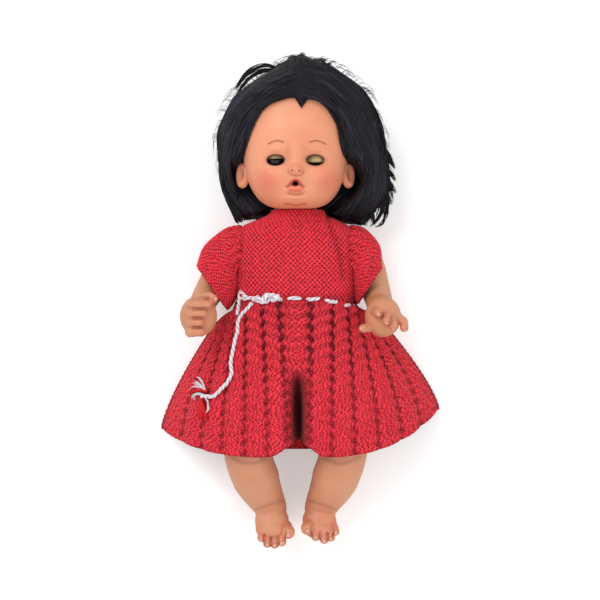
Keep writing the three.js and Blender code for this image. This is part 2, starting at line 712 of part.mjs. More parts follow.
function makeArm(sideName) {
  const side = sideName === "left" ? 1 : -1;
  const points = armLine(sideName);
  const wrist = points.at(-1);
  const hand = HANDS[sideName];
  const from = ([out, up, lift]) => wrist.clone().add(V(side * out, up, lift));
  const form = { across: Z_AXIS, sides: 12, steps: 9, round: [false, true] };
  const seat = V(side * FIT, 0, 0);
  const rootEnd = V(side * reachOfRoot, 0, 0);
  let arm = limb({ ...form, points, sizes: ARM_RADII }).add(rod(seat, rootEnd, SHOULDER_R));
  arm = arm.subtract(inboard(side));
  const palm = ball(1, 12, 7).scale(hand.palm.half).translate(from(hand.palm.at).toArray());
  arm = arm.add(palm);
  for (const finger of [...hand.fingers, hand.thumb]) {
    const sizes = finger.map((_, i) => FINGER_R - 0.35 * i);
    const along = { across: Y_AXIS, sides: 6, steps: 3 };
    arm = arm.add(limb({ ...along, points: finger.map(from), sizes }));
  }
  const cavity = limb({ ...form, points, sizes: ARM_RADII, sides: 8, steps: 6, grow: -VINYL });
  const inward = V(-side, 0, 0);
  const vent = rod(V(-side * 20, 0, 0), V(side * 12, 0, 0), VENT_R, 16);
  const hollow = cavity.subtract(inboard(side).translate([side * VINYL, 0, 0]));
  arm = largest(arm)
    .subtract(hollow)
    .add(plug(inward, ARM_STEM_R, VINYL / 2).translate(seat.toArray()))
    .subtract(vent);
  return piece(`arm_${sideName}`, arm, skinVinyl, 0.2);
}

// Outline of each sleeve seen from above, seam to cuff: each ring's inner and outer end, [out, down] from the shoulder.
const SLEEVES = {
  right: { inner: [[0, 25], [1, 38], [4, 47], [9, SLEEVE_REACH]], outer: [[0, -17], [13, -13.5], [29, 0], [35, 16]] },
  left: { inner: [[0, 25], [0.5, 36], [1.5, 43], [3.5, SLEEVE_REACH - 5]], outer: [[0, -17], [11, -14], [22.5, -1], [25, 17]] },
};
const SLEEVE_HALF_HEIGHTS = [20.5, 23, 23, 20];

// A puffed sleeve sewn at the armhole, hanging loose round the arm to a slanting cuff.
function makeSleeve(sideName) {
  const side = sideName === "left" ? 1 : -1;
  const widest = Math.max(...[WAIST_Y, 62, SHOULDER_Y].map((y) => torsoSection(y)[0]));
  const seam = widest + KNIT + 3 * FIT - SHOULDER_SEAT_X;
  const { inner, outer } = SLEEVES[sideName];
  const at = ([out, down]) => V(side * (seam + out), -down, 0);
  const build = (grow, stretch) =>
    skin(
      SLEEVE_HALF_HEIGHTS.map((height, i) => {
        const [low, high] = [at(inner[i]), at(outer[i])];
        const inPlane = high.clone().sub(low).normalize();
        const normal = V(side * Math.abs(inPlane.y), -Math.abs(inPlane.x), 0);
        const ends = { 0: -stretch, 3: stretch };
        const centre = low.clone().lerp(high, 0.5).addScaledVector(normal, ends[i] ?? 0);
        return ring(centre, inPlane, Z_AXIS, low.distanceTo(high) / 2 + grow, height + grow, 20, 2.2);
      }),
    );
  const arm = limb({
    points: armLine(sideName),
    sizes: ARM_RADII,
    across: Z_AXIS,
    sides: 12,
    steps: 9,
    round: [false, true],
    grow: 2 * FIT,
  });
  const root = rod(V(-side * 5, 0, 0), V(side * (reachOfRoot + 1), 0, 0), SHOULDER_R + FIT);
  return piece(`sleeve_${sideName}`, build(0, 0).subtract(build(-KNIT, 2)).subtract(arm).subtract(root), redKnit);
}

// Legs

function makeLeg(sideName) {
  const side = sideName === "left" ? 1 : -1;
  const at = (x, y, z) => V(side * (x - HIP_SEAT_X), y - HIP_Y, z);
  const heelZ = -(hipZ - HEEL_R - 0.5);
  const line = [
    at(HIP_SEAT_X + 14, HIP_Y, 0),
    at(KNEE_X + 1.5, lerp(HIP_Y, KNEE_Y, 0.45), KNEE_LIFT * 0.62),
    at(KNEE_X, KNEE_Y, KNEE_LIFT),
    at(lerp(KNEE_X, ANKLE_X, 0.38), lerp(KNEE_Y, ANKLE_Y, 0.52), KNEE_LIFT * 0.25),
    at(ANKLE_X, ANKLE_Y, -hipZ + ANKLE_R + 9),
  ];
  const radii = [THIGH_R - 1, THIGH_R, KNEE_R, CALF_R, ANKLE_R];
  const form = { across: X_AXIS, sides: 12, steps: 9 };
  const seat = V(side * FIT, 0, 0);
  const inward = V(-side, 0, 0);
  const rootEnd = at(HIP_SEAT_X + 16, HIP_Y, 0);
  const root = rod(seat, rootEnd, THIGH_R - 1.5);
  const ankle = line.at(-1);
  const toeRoot = ankle.clone().add(V(-side * 1, -19, 11));
  const heel = V(ankle.x, ankle.y - 4, heelZ);
  const foot = limb({
    points: [heel, heel.clone().lerp(toeRoot, 0.5).add(V(0, 0, 1)), toeRoot],
    sizes: [[HEEL_R, HEEL_R], [FOOT_HALF_WIDTH, 11], [FOOT_HALF_WIDTH, 8]],
    across: X_AXIS,
    sides: 10,
    steps: 4,
  });
  let leg = limb({ ...form, points: line, sizes: radii }).add(root).add(foot);
  range(5).forEach((i) => {
    const big = i === 0;
    const out = FOOT_HALF_WIDTH - 4.6 - (big ? 0.6 : 0) - i * 5.1;
    const reach = [7.5, 11, 11.2, 9.5, 6][i];
    const size = big ? TOE_R + 1.2 : TOE_R - 0.25 * i;
    const start = toeRoot.clone().add(V(-side * out, 1, 1));
    const tip = start.clone().add(V(-side * out * 0.04, -reach, reach * 0.42));
    leg = leg.add(limb({ points: [start, tip], sizes: [size, size - 0.4], across: X_AXIS, sides: 6, steps: 1 }));
  });
  const cavity = limb({ ...form, points: line, sizes: radii, sides: 8, steps: 6, grow: -VINYL });
  const vent = rod(V(-side * 20, 0, 0), V(side * 14, 0, 0), VENT_R, 16);
  const hollow = cavity.subtract(inboard(side).translate([side * VINYL, 0, 0]));
  leg = largest(leg.subtract(inboard(side)))
    .subtract(hollow)
    .add(plug(inward, LEG_STEM_R, VINYL / 2).translate(seat.toArray()))
    .subtract(vent);
  return piece(`leg_${sideName}`, leg, skinVinyl, 0.2);
}

// Dress

function makeBodice() {
  const hem = WAIST_Y + waistGap;
  const outer = torsoForm(FIT + KNIT, hem + FIT + KNIT, TORSO_TOP, 24);
  const inner = torsoForm(FIT, hem - 4, TORSO_TOP, 24);
  const neck = (y) => V(0, y, NECK_Z);
  const collarR = NECK_R + FIT + KNIT;
  let bodice = outer
    .add(rod(neck(TORSO_TOP - 6), neck(COLLAR_Y), collarR + 4, 24, collarR))
    .subtract(inner)
    .subtract(rod(neck(TORSO_TOP - 10), neck(COLLAR_Y + 2), NECK_R + VINYL + 2 * FIT, 24, NECK_R + FIT));
  for (const side of [1, -1]) {
    const at = (x) => V(side * x, SHOULDER_Y, shoulderZ);
    bodice = bodice.subtract(rod(at(SHOULDER_SEAT_X - 16), at(SHOULDER_SEAT_X + 30), ARMHOLE_R - 2, 24));
  }
  return piece("bodice", bodice, redKnit);
}

// Height of the skirt's front at the hem, at a share of the way from the fold to a side edge, over a leg.
function hemHeight(x, valley) {
  const edge = KNIT + FIT + 2.4;
  const side = x < 0 ? -1 : 1;
  const crest = side * KNEE_X;
  const top = hipZ + KNEE_LIFT + KNEE_R + KNIT + RIB_HEIGHT + 4;
  const beyond = side * (x - crest) > 0;
  const span = beyond ? SKIRT_HALF_WIDTH - KNEE_X : side < 0 ? KNEE_X - 3 : KNEE_X - 5;
  const power = beyond ? 2.2 : side < 0 ? 3.2 : 5;
  const share = Math.min(1, Math.abs(x - crest) / span);
  const floor = beyond ? edge : VALLEY_FLOOR;
  const folded = floor + (top - floor) * (1 - share ** power);
  const plain = edge + (top - edge) * (1 - Math.abs(x / SKIRT_HALF_WIDTH) ** 3.2);
  return lerp(plain, folded, valley);
}

const WAIST_WRAP = rad(150); // how far the front wraps round the waist on each side
const skirtTop = WAIST_Y - waistGap;

// A point of the skirt's front: across runs -1 to 1 from side to side, down runs 0 to 1 from waist to hem.
function skirtPoint(across, down) {
  const spread = 1 - (1 - down) ** 1.8;
  const waist = torsoRim(WAIST_Y, across * WAIST_WRAP, 2 * FIT + KNIT);
  waist.y = skirtTop;
  const hemX = SKIRT_HALF_WIDTH * across;
  const rise = HEM_RISE * Math.abs(across) ** 3 + 11 * Math.exp(-((hemX / 13) ** 2));
  const valley = smooth(down, 0.5, 0.85);
  const hem = V(hemX, skirtTop - SKIRT_LENGTH + rise, hemHeight(hemX, valley));
  return V(
    lerp(waist.x, hem.x, spread),
    lerp(waist.y, hem.y, down),
    lerp(waist.z, hem.z, spread),
  );
}

// The skirt's front: one sheet draped over the legs, pleated by ribs, with a deep fold between the legs.
function makeSkirtFront() {
  const columns = SKIRT_RIBS * 4;
  const rows = 6;
  const step = 0.01;
  const face = [];
  const back = [];
  for (let r = 0; r <= rows; r++) {
    const down = r / rows;
    const pair = range(columns + 1).map((c) => {
      const across = -1 + (2 * c) / columns;
      const p = skirtPoint(across, down);
      const du = skirtPoint(across + step, down).sub(skirtPoint(across - step, down));
      const dv = skirtPoint(across, Math.min(1, down + step)).sub(skirtPoint(across, Math.max(0, down - step)));
      const normal = V(0, 0, 0).crossVectors(dv, du).normalize();
      const rib = RIB_HEIGHT * smooth(down, 0.02, 0.35) * Math.cos(Math.PI * SKIRT_RIBS * across);
      const lift = Math.abs(across) > 0.97 ? 0 : rib;
      return [p.clone().addScaledVector(normal, lift), p.clone().addScaledVector(normal, lift - KNIT)];
    });
    face.push(pair.map((q) => q[0]));
    back.push(pair.map((q) => q[1]));
  }
  return piece("skirt_front", sheet(face, back), redKnit);
}

// The skirt's back lies flat under the doll from the waist to the hem.
function makeSkirtBack() {
  const columns = 24;
  const rows = 6;
  const face = [];
  const back = [];
  for (let r = 0; r <= rows; r++) {
    const down = r / rows;
    const row = range(columns + 1).map((c) => skirtPoint(-1 + (2 * c) / columns, down));
    const edge = Math.abs(row[0].x);
    face.push(range(columns + 1).map((c) => V(edge * (-1 + (2 * c) / columns), row[c].y, KNIT)));
    back.push(range(columns + 1).map((c) => V(edge * (-1 + (2 * c) / columns), row[c].y, 0)));
  }
  return piece("skirt_back", sheet(face, back), redKnit);
}

// The drawstring that gathers the waist, in the seam between bodice and skirt.
function makeWaistCord() {
  const steps = 44;
  const sides = 5;
  const loop = range(steps).map((i) => {
    const turn = (2 * Math.PI * i) / steps;
    const outward = V(Math.sin(turn), 0, Math.cos(turn));
    const centre = torsoRim(WAIST_Y, turn, FIT + CORD_D / 2);
    return ring(centre, outward, Y_AXIS, CORD_D / 2, CORD_D / 2, sides);
  });
  const points = loop.flat();
  const index = [];
  for (let r = 0; r < steps; r++) {
    for (let c = 0; c < sides; c++) {
      const a = r * sides + c;
      const b = r * sides + ((c + 1) % sides);
      const ahead = (k) => (k + sides) % points.length;
      index.push(a, b, ahead(a), b, ahead(b), ahead(a));
    }
  }
  const g = new THREE.BufferGeometry().setFromPoints(points);
  g.setIndex(index);
  return piece("waist_cord", solidOf(g), whiteYarn);
}

// Routes of the drawstring's free ends over the dress, and of the tassel's strands
const LONG_TIE = [
  [-36.8, 39.4, 64],
  [-41, 34.5, 62],
  [-45.4, 30, 59.6],
  [-48.2, 23.8, 59.2],
  [-48.6, 15, 61],
  [-49.8, 12.2, 61.8],
  [-52.3, 0, 64.8],
  [-54, -10.2, 67.2],
  [-53.2, -18.7, 69.2],
  [-57.4, -27, 70.2],
  [-60, -29.5, 69.6],
  [-65.2, -35.2, 67.6],
  [-69.3, -38.2, 66],
  [-74, -38, 62.4],
  [-78.4, -38.4, 58],
];
const SHORT_TIE = [
  [-36.6, 44.2, 62.6],
  [-40, 44.2, 60.2],
  [-43.2, 46.6, 56.4],
  [-45.8, 49.4, 51.2],
  [-47.2, 46.8, 49.6],
  [-47.5, 42, 51],
  [-48, 36.5, 54.4],
  [-49, 31, 57.6],
];
const TASSEL_LINE = [
  [-81.6, -39.4, 57.2],
  [-82.4, -46, 60.3],
  [-81, -53, 64.3],
  [-80, -59, 66.9],
];
const KNOT_LINE = [
  [-16, 44.2, 71.6],
  [-24.5, 43.9, 69.8],
  [-32.2, 42.6, 66.2],
];
const alongList = (list) => list.map((p) => V(...p));

// A length of the crocheted cord along a route.
function makeCord(name, route) {
  const points = alongList(route);
  const sizes = points.map(() => CORD_D / 2);
  const cord = limb({ points, sizes, across: Z_AXIS, sides: 6, steps: 2 * points.length, round: [false, false] });
  return piece(name, cord, whiteYarn, 0.05);
}

// The knot of the drawstring: the tight loops of the tie as one oval lump.
function makeKnot() {
  const sizes = [[4, 2.6], [4.6, 3], [4, 2.6]];
  const knot = limb({ points: alongList(KNOT_LINE), sizes, across: Y_AXIS, sides: 10, steps: 6 });
  return piece("tie_knot", knot, whiteYarn);
}

// The tassel: a bound head and a skirt of strands that flattens as it lies on the dress.
function makeTassel() {
  const sizes = [[2.6, 2.4], [3.8, 2.4], [4.6, 2.4], [5, 2]];
  const tassel = limb({ points: alongList(TASSEL_LINE), sizes, across: X_AXIS, sides: 10, steps: 6 });
  return piece("tassel", tassel, redKnit);
}

// Assembly

const doll = new THREE.Group();
doll.add(makeTorso(), makeBodice(), makeSkirtFront(), makeSkirtBack(), makeWaistCord());
doll.add(makeKnot(), makeCord("tie_cord_long", LONG_TIE), makeCord("tie_cord_short", SHORT_TIE), makeTassel());

const head = new THREE.Group();
head.position.set(0, HEAD_Y, HEAD_Z);
head.add(makeHead(), makeDrinkTube(), ...makeHair(), makeEye("left"), makeEye("right"));
doll.add(head);

for (const [sideName, side] of [["left", 1], ["right", -1]]) {
  const arm = new THREE.Group();
  arm.position.set(side * SHOULDER_SEAT_X, SHOULDER_Y, shoulderZ);
  arm.add(makeArm(sideName), makeSleeve(sideName));
  const leg = new THREE.Group();
  leg.position.set(side * HIP_SEAT_X, HIP_Y, hipZ);
  leg.add(makeLeg(sideName));
  doll.add(arm, leg);
}

export default doll;
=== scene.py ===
"""A baby doll in a knitted dress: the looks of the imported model, in its own frame.

Lengths are in millimetres until a mesh is made; X runs across the doll, Y up to its head, Z out of its front.
"""
import logging
import math
from dataclasses import dataclass, field
from enum import Enum

import bmesh
import bpy
import numpy as np
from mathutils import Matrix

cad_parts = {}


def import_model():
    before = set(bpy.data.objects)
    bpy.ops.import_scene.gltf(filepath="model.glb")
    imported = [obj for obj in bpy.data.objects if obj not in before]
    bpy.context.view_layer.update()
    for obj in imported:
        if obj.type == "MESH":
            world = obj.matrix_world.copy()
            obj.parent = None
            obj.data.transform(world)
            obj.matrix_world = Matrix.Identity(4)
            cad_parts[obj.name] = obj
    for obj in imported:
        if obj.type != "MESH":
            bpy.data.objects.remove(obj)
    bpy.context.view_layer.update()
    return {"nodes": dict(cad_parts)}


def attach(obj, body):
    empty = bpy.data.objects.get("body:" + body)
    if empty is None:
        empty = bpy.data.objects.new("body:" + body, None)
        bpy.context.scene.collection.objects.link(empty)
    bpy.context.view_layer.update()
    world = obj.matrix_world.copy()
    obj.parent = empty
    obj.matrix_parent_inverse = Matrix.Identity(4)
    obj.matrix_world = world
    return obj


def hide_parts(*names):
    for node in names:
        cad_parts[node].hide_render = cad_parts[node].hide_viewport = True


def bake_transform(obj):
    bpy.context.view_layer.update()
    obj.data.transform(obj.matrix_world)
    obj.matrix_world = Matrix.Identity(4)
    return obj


Array = np.ndarray
Route = np.ndarray | list | tuple
Colour = tuple[int, int, int]
Point = tuple[float, float, float]
Pair = tuple[float, float]
Row = tuple[float, ...]
Marks = tuple[Pair, ...]
Mesh = bpy.types.Mesh
Socket = bpy.types.NodeSocket

LOG = logging.getLogger("doll")
METRES = 0.001
PI = math.pi
TURN = 2 * PI
FRONT = np.array([0.0, 0.0, 1.0])

# Where the camera stands and the plane on which the picture was measured.
CAMERA_X = 3.8
CAMERA_Y = 42.5
CAMERA_HEIGHT = 1440.0
PICTURE_PLANE = 40.0
PICTURE_WIDTH = 510.0

# The trunk, shared by the dress and the cord round it: height, half width and half depth of each section.
TRUNK_SECTIONS = (
    (-32, 9, 11), (-25, 23, 22), (-10, 35, 29), (8, 43, 31), (28, 45, 31),
    (62, 43.5, 30), (84, 44, 29), (98, 42, 26), (106, 32, 23), (112, 23, 21),
)
TRUNK_POWER = 2.4
TRUNK_Z = 34.4
WAIST_Y = 43.5
SKIRT_TOP = 41.5
NECK_Z = 37.4
NECK_R = 19.0
SHOULDER = (43.0, 88.0, 35.4)
CORD_D = 3.2


class Side(Enum):
    """The doll's own side, as the sign of X."""

    LEFT = 1
    RIGHT = -1

    @property
    def word(self) -> str:
        """The side in the words of the node names."""
        return self.name.lower()


class Hold(Enum):
    """How a cloth piece is held."""

    GATHERED = "gathered"
    LAID = "laid"
    STRETCHED = "stretched"


def linear(colour: Colour) -> tuple[float, float, float, float]:
    """A screen colour of 0 to 255 as linear light, with alpha one."""
    share = np.asarray(colour, float) / 255
    light = np.where(share <= 0.04045, share / 12.92, ((share + 0.055) / 1.055) ** 2.4)
    return (float(light[0]), float(light[1]), float(light[2]), 1.0)


def tone(colour: Colour) -> Array:
    """A screen colour as three linear numbers for painting on points."""
    return np.array(linear(colour)[:3])


def washed(tint: Array, colour: Colour | Array, weight: Array) -> Array:
    """Painted colours with another laid over them, by a weight on each point."""
    over = tone(colour) if isinstance(colour, tuple) else colour
    return tint + (over - tint) * weight[:, None]


def ease(value: Array, low: float, high: float) -> Array:
    """Nought below low, one above high, and the cubic 3t^2 - 2t^3 between."""
    t = np.clip((np.asarray(value, float) - low) / (high - low), 0, 1)
    return t * t * (3 - 2 * t)


def lerp(a: Array, b: Array, t: Array) -> Array:
    """The straight mix of a and b, t of the way to b."""
    return a + (b - a) * t


def unit(vectors: Array) -> Array:
    """The vectors at length one."""
    size = np.linalg.norm(vectors, axis=-1, keepdims=True)
    return vectors / np.maximum(size, 1e-9)


def power_of(value: Array, power: float) -> Array:
    """The value raised to a power, with its sign kept."""
    return np.sign(value) * np.abs(value) ** power


def bell(value: Array, half: float, power: float = 2) -> Array:
    """A bell of height one: exp(-|value / half|^power)."""
    return np.exp(-(np.abs(value / half) ** power))


def shares(count: int) -> Array:
    """Even steps from nought to one."""
    return np.linspace(0, 1, count)


def full_turn(count: int) -> Array:
    """Angles once round, the last of them short of the first."""
    return np.linspace(0, TURN, count, endpoint=False)


def walked(line: Array) -> Array:
    """Length walked along a line at each of its corners."""
    return np.append(0, np.cumsum(np.linalg.norm(np.diff(line, axis=0), axis=1)))


def hill(x: Array, y: Array, at: Pair, half: Pair) -> Array:
    """A bell-shaped hill of height one: exp(-(dx/half width)^2 - (dy/half height)^2)."""
    return np.exp(-((x - at[0]) / half[0]) ** 2 - ((y - at[1]) / half[1]) ** 2)


def twin_hill(x: Array, y: Array, across: Pair, up: float, half: Pair) -> Array:
    """The higher of two hills that stand side by side at one height."""
    return np.maximum(hill(x, y, (across[0], up), half), hill(x, y, (across[1], up), half))


def line_near(x: Array, y: Array, route: Route, width: float) -> Array:
    """How near each point is to a drawn line, one on it and falling off as a bell.

    Args:
        x: Places across.
        y: Places up.
        route: Corners of the line, two numbers each.
        width: Distance at which the bell falls to 1/e.

    Returns:
        Strength of the line at each point.
    """
    route = np.asarray(route, float)
    best = np.full(np.shape(x), 1e9)
    for start, end in zip(route[:-1], route[1:]):
        run = end - start
        share = np.clip(((x - start[0]) * run[0] + (y - start[1]) * run[1]) / (run @ run), 0, 1)
        away = np.hypot(x - start[0] - run[0] * share, y - start[1] - run[1] * share)
        best = np.minimum(best, away)
    return bell(best, width)


def curve_through(points: Route, count: int) -> Array:
    """A smooth line through the points, sampled at even steps.

    Each span is the cubic of a Catmull-Rom spline: half of (2b + (c - a)t + (2a - 5b + 4c - d)t^2
    + (3b - a - 3c + d)t^3), with the end points carried on straight.

    Args:
        points: Corners of the line.
        count: Number of samples.

    Returns:
        The samples, evenly spaced along the line.
    """
    p = np.asarray(points, float)
    p = np.vstack([2 * p[0] - p[1], p, 2 * p[-1] - p[-2]])
    t = np.linspace(0, 1, 24, endpoint=False)[None, :, None]
    a, b, c, d = (p[i:len(p) - 3 + i][:, None, :] for i in range(4))
    cubic = (3 * b - a - 3 * c + d) * t**3
    fine = 0.5 * (2 * b + (c - a) * t + (2 * a - 5 * b + 4 * c - d) * t**2 + cubic)
    fine = np.vstack([fine.reshape(-1, p.shape[1]), p[-2]])
    return even_steps(fine, count)


def even_steps(line: Route, count: int) -> Array:
    """The line sampled again at equal lengths."""
    line = np.asarray(line, float)
    run = walked(line)
    at = np.linspace(0, run[-1], count)
    return np.stack([np.interp(at, run, line[:, i]) for i in range(line.shape[1])], axis=1)


def along(values: tuple, count: int) -> Array:
    """A few numbers, or rows of them, spread smoothly over a count of samples."""
    table = np.asarray(values, float)
    table = table.reshape(len(table), -1)
    at = np.linspace(0, len(table) - 1, count)
    return np.stack([np.interp(at, np.arange(len(table)), column) for column in table.T], axis=1)


@dataclass
class Surface:
    """Points and faces of one mesh, with values painted on the points."""

    points: Array
    quads: Array
    tris: Array = field(default_factory=lambda: np.zeros((0, 3), int))
    paint: dict[str, Array] = field(default_factory=dict)

    def outward(self) -> "Surface":
        """This closed surface with its faces turned outward, by the sign of its volume."""
        middle = self.points.mean(axis=0)
        faces = np.vstack([self.quads[:, [0, 1, 2]], self.quads[:, [0, 2, 3]], self.tris])
        a, b, c = (self.points[faces[:, i]] - middle for i in range(3))
        if np.einsum("ij,ij->", a, np.cross(b, c)) < 0:
            self.quads = self.quads[:, ::-1]
            self.tris = self.tris[:, ::-1]
        return self

    def painted(self, **paint: Array) -> "Surface":
        """This surface with more values on its points; a single value goes on all."""
        for name, value in paint.items():
            value = np.asarray(value, float)
            whole = value.ndim > 0 and len(value) == len(self.points)
            self.paint[name] = value if whole else np.broadcast_to(value, (len(self.points),) + value.shape)
        return self

    def raised(self, relief: Array, cap: float | None = None) -> "Surface":
        """This surface with a painted light and shade value on its points, low for painted shade in hollows
        and high for painted light on crests, and a value for the middles of its two end fans.
        """
        # the 'raise' attribute holds painted light and shade, worked out from the relief of the knit or the
        # yarn
        return self.painted(**{"raise": np.append(relief, [] if cap is None else [cap, cap])})


def joined(parts: list[Surface]) -> Surface:
    """Several surfaces as one; all carry the same painted values."""
    starts = np.cumsum([0] + [len(part.points) for part in parts])
    return Surface(
        np.vstack([part.points for part in parts]),
        np.vstack([part.quads + start for part, start in zip(parts, starts)]),
        np.vstack([part.tris + start for part, start in zip(parts, starts)]),
        {name: np.concatenate([part.paint[name] for part in parts]) for name in parts[0].paint},
    )


def grid(points: Array, ring: bool = False, capped: bool = False) -> Surface:
    """A surface over rows and columns of points.

    Args:
        points: Rows by columns by three.
        ring: Whether the last column joins the first.
        capped: Whether the first and the last row are closed by fans.

    Returns:
        The surface, with its points in row order and the fans' middles at the end.
    """
    rows, columns = points.shape[:2]
    index = np.arange(rows * columns).reshape(rows, columns)
    here = index if ring else index[:, :-1]
    beside = np.roll(index, -1, axis=1) if ring else index[:, 1:]
    quads = np.stack([here[:-1], beside[:-1], beside[1:], here[1:]], axis=-1).reshape(-1, 4)
    flat = points.reshape(-1, 3)
    tris = np.zeros((0, 3), int)
    for row, turned in ((0, True), (rows - 1, False)) if capped else ():
        fan = np.stack([here[row], beside[row], np.full(here.shape[1], len(flat))], axis=1)
        tris = np.vstack([tris, fan[:, ::-1] if turned else fan])
        flat = np.vstack([flat, points[row].mean(axis=0)])
    return Surface(flat, quads, tris)


def closed(rings: Array) -> Surface:
    """A closed surface over rings of points, with a fan on each end and its faces outward."""
    return grid(rings, True, True).outward()


def facing(surface: Surface, up: int) -> Surface:
    """An open surface with its faces turned up or down."""
    corner = surface.points[surface.quads]
    area = np.cross(corner[:, 2] - corner[:, 0], corner[:, 3] - corner[:, 1])
    if area[:, 2].sum() * up < 0:
        surface.quads = surface.quads[:, ::-1]
    return surface


def frame_along(line: Array, up: Point = (0, 0, 1)) -> tuple[Array, Array, Array]:
    """Tangent, side and upper direction at each sample of a line, from one fixed upward hint."""
    ahead = unit(np.gradient(line, axis=0))
    side = unit(np.cross(ahead, np.asarray(up, float)))
    return ahead, side, np.cross(side, ahead)


def tube(line: Array, half: Array, sides: int, up: Point = (0, 0, 1), round_ends: bool = True) -> Surface:
    """An oval tube along a line: centre + side * a * cos(angle) + upper * b * sin(angle).

    Args:
        line: Centre line, evenly sampled.
        half: Radius at each sample, or half width and half height, which may differ round each ring.
        sides: Points round each ring.
        up: Upward hint for the rings.
        round_ends: Whether the ends are closed by domes.

    Returns:
        The closed tube.
    """
    ahead, side, upper = frame_along(line, up)
    turn = full_turn(sides)
    half = np.asarray(half, float)
    if half.ndim == 1:
        half = np.stack([half, half], axis=1)
    a = half[:, 0].reshape(len(line), -1)
    b = half[:, 1].reshape(len(line), -1)
    rings = line[:, None] + side[:, None] * (a * np.cos(turn))[..., None]
    rings = rings + upper[:, None] * (b * np.sin(turn))[..., None]
    if round_ends:
        lean = np.radians([75, 50, 25])
        first, last = rings[0] - line[0], rings[-1] - line[-1]
        reach = half[[0, -1]].reshape(2, -1).min(axis=1)
        head = [line[0] - ahead[0] * reach[0] * math.sin(v) + first * math.cos(v) for v in lean]
        tail = [line[-1] + ahead[-1] * reach[1] * math.sin(v) + last * math.cos(v) for v in lean[::-1]]
        rings = np.concatenate([np.array(head), rings, np.array(tail)])
    return closed(rings)


def oval(centre: Point, half: Point, rows: int = 28, columns: int = 40) -> Surface:
    """An oval ball: centre + half sizes times the unit ball's cos and sin of climb and turn."""
    climb = np.linspace(-PI / 2, PI / 2, rows + 2)[1:-1, None]
    turn = full_turn(columns)[None]
    level = np.cos(climb)
    ball = np.stack([level * np.sin(turn), np.sin(climb) + 0 * turn, level * np.cos(turn)], -1)
    return closed(np.asarray(centre) + ball * np.asarray(half))


def seen_at(x: Array, y: Array, z: Array) -> tuple[Array, Array]:
    """Where a place measured on the picture's plane lies at height z, along the camera's ray."""
    share = (CAMERA_HEIGHT - z) / (CAMERA_HEIGHT - PICTURE_PLANE)
    return CAMERA_X + (x - CAMERA_X) * share, CAMERA_Y + (y - CAMERA_Y) * share


def trunk_rim(y: Array, turn: Array, grow: Array) -> Array:
    """A point round the trunk, grown outward: a superellipse at that height.

    Args:
        y: Height.
        turn: Angle from the front, towards the doll's left.
        grow: How far outside the trunk.

    Returns:
        The points.
    """
    sections = np.asarray(TRUNK_SECTIONS, float)
    wide = np.interp(y, sections[:, 0], sections[:, 1]) + grow
    deep = np.interp(y, sections[:, 0], sections[:, 2]) + grow
    pull = 2 / TRUNK_POWER
    x = wide * power_of(np.sin(turn), pull)
    z = TRUNK_Z + deep * power_of(np.cos(turn), pull)
    return np.stack(np.broadcast_arrays(x, np.asarray(y, float), z), axis=-1)


def make_mesh(name: str, surface: Surface) -> Mesh:
    """A smooth Blender mesh of a surface, in metres, with its painted values as attributes."""
    mesh = bpy.data.meshes.new(name)
    loops = np.concatenate([surface.quads.ravel(), surface.tris.ravel()])
    starts = np.concatenate([
        np.arange(len(surface.quads)) * 4,
        len(surface.quads) * 4 + np.arange(len(surface.tris)) * 3,
    ])
    mesh.vertices.add(len(surface.points))
    mesh.vertices.foreach_set("co", (surface.points * METRES).astype(np.float32).ravel())
    mesh.loops.add(len(loops))
    mesh.loops.foreach_set("vertex_index", loops.astype(np.int32))
    mesh.polygons.add(len(starts))
    mesh.polygons.foreach_set("loop_start", starts.astype(np.int32))
    mesh.update(calc_edges=True)
    mesh.validate()
    mesh.shade_smooth()
    paint_mesh(mesh, surface.paint)
    return mesh


def paint_mesh(mesh: Mesh, paint: dict[str, Array]) -> None:
    """Puts painted values on a mesh's points: three numbers as a colour, one as a plain number."""
    for name, value in paint.items():
        if value.ndim == 2:
            layer = mesh.attributes.new(name, "FLOAT_COLOR", "POINT")
            whole = np.concatenate([value, np.ones((len(value), 1))], axis=1)
            layer.data.foreach_set("color", whole.astype(np.float32).ravel())
        else:
            layer = mesh.attributes.new(name, "FLOAT", "POINT")
            layer.data.foreach_set("value", value.astype(np.float32).ravel())


def place(name: str, shape: "Surface | Mesh", finish: "Finish", body: str, slot: str,
          nodes: tuple[str, ...] = (), leg: str = "") -> bpy.types.Object:
    """Puts a shape in the scene as a piece with its finish, riding on a body, or left in place with its
    transform baked when a leg is given.

    Args:
        name: The piece's name.
        shape: Its surface or its mesh.
        finish: Its finish.
        body: The body that it moves with.
        slot: Not used.
        nodes: The solids that it stands in for.
        leg: A leg's name, if any; then the piece's transform is baked and it rides on no body.

    Returns:
        The object.
    """
    mesh = make_mesh(name, shape) if isinstance(shape, Surface) else shape
    piece = bpy.data.objects.new(name, mesh)
    bpy.context.scene.collection.objects.link(piece)
    mesh.materials.append(finish.material())
    if leg:
        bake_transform(piece)
    else:
        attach(piece, body)
    if nodes:
        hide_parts(*nodes)
    LOG.info("%s on %s: %d faces", name, body, len(mesh.polygons))
    return piece


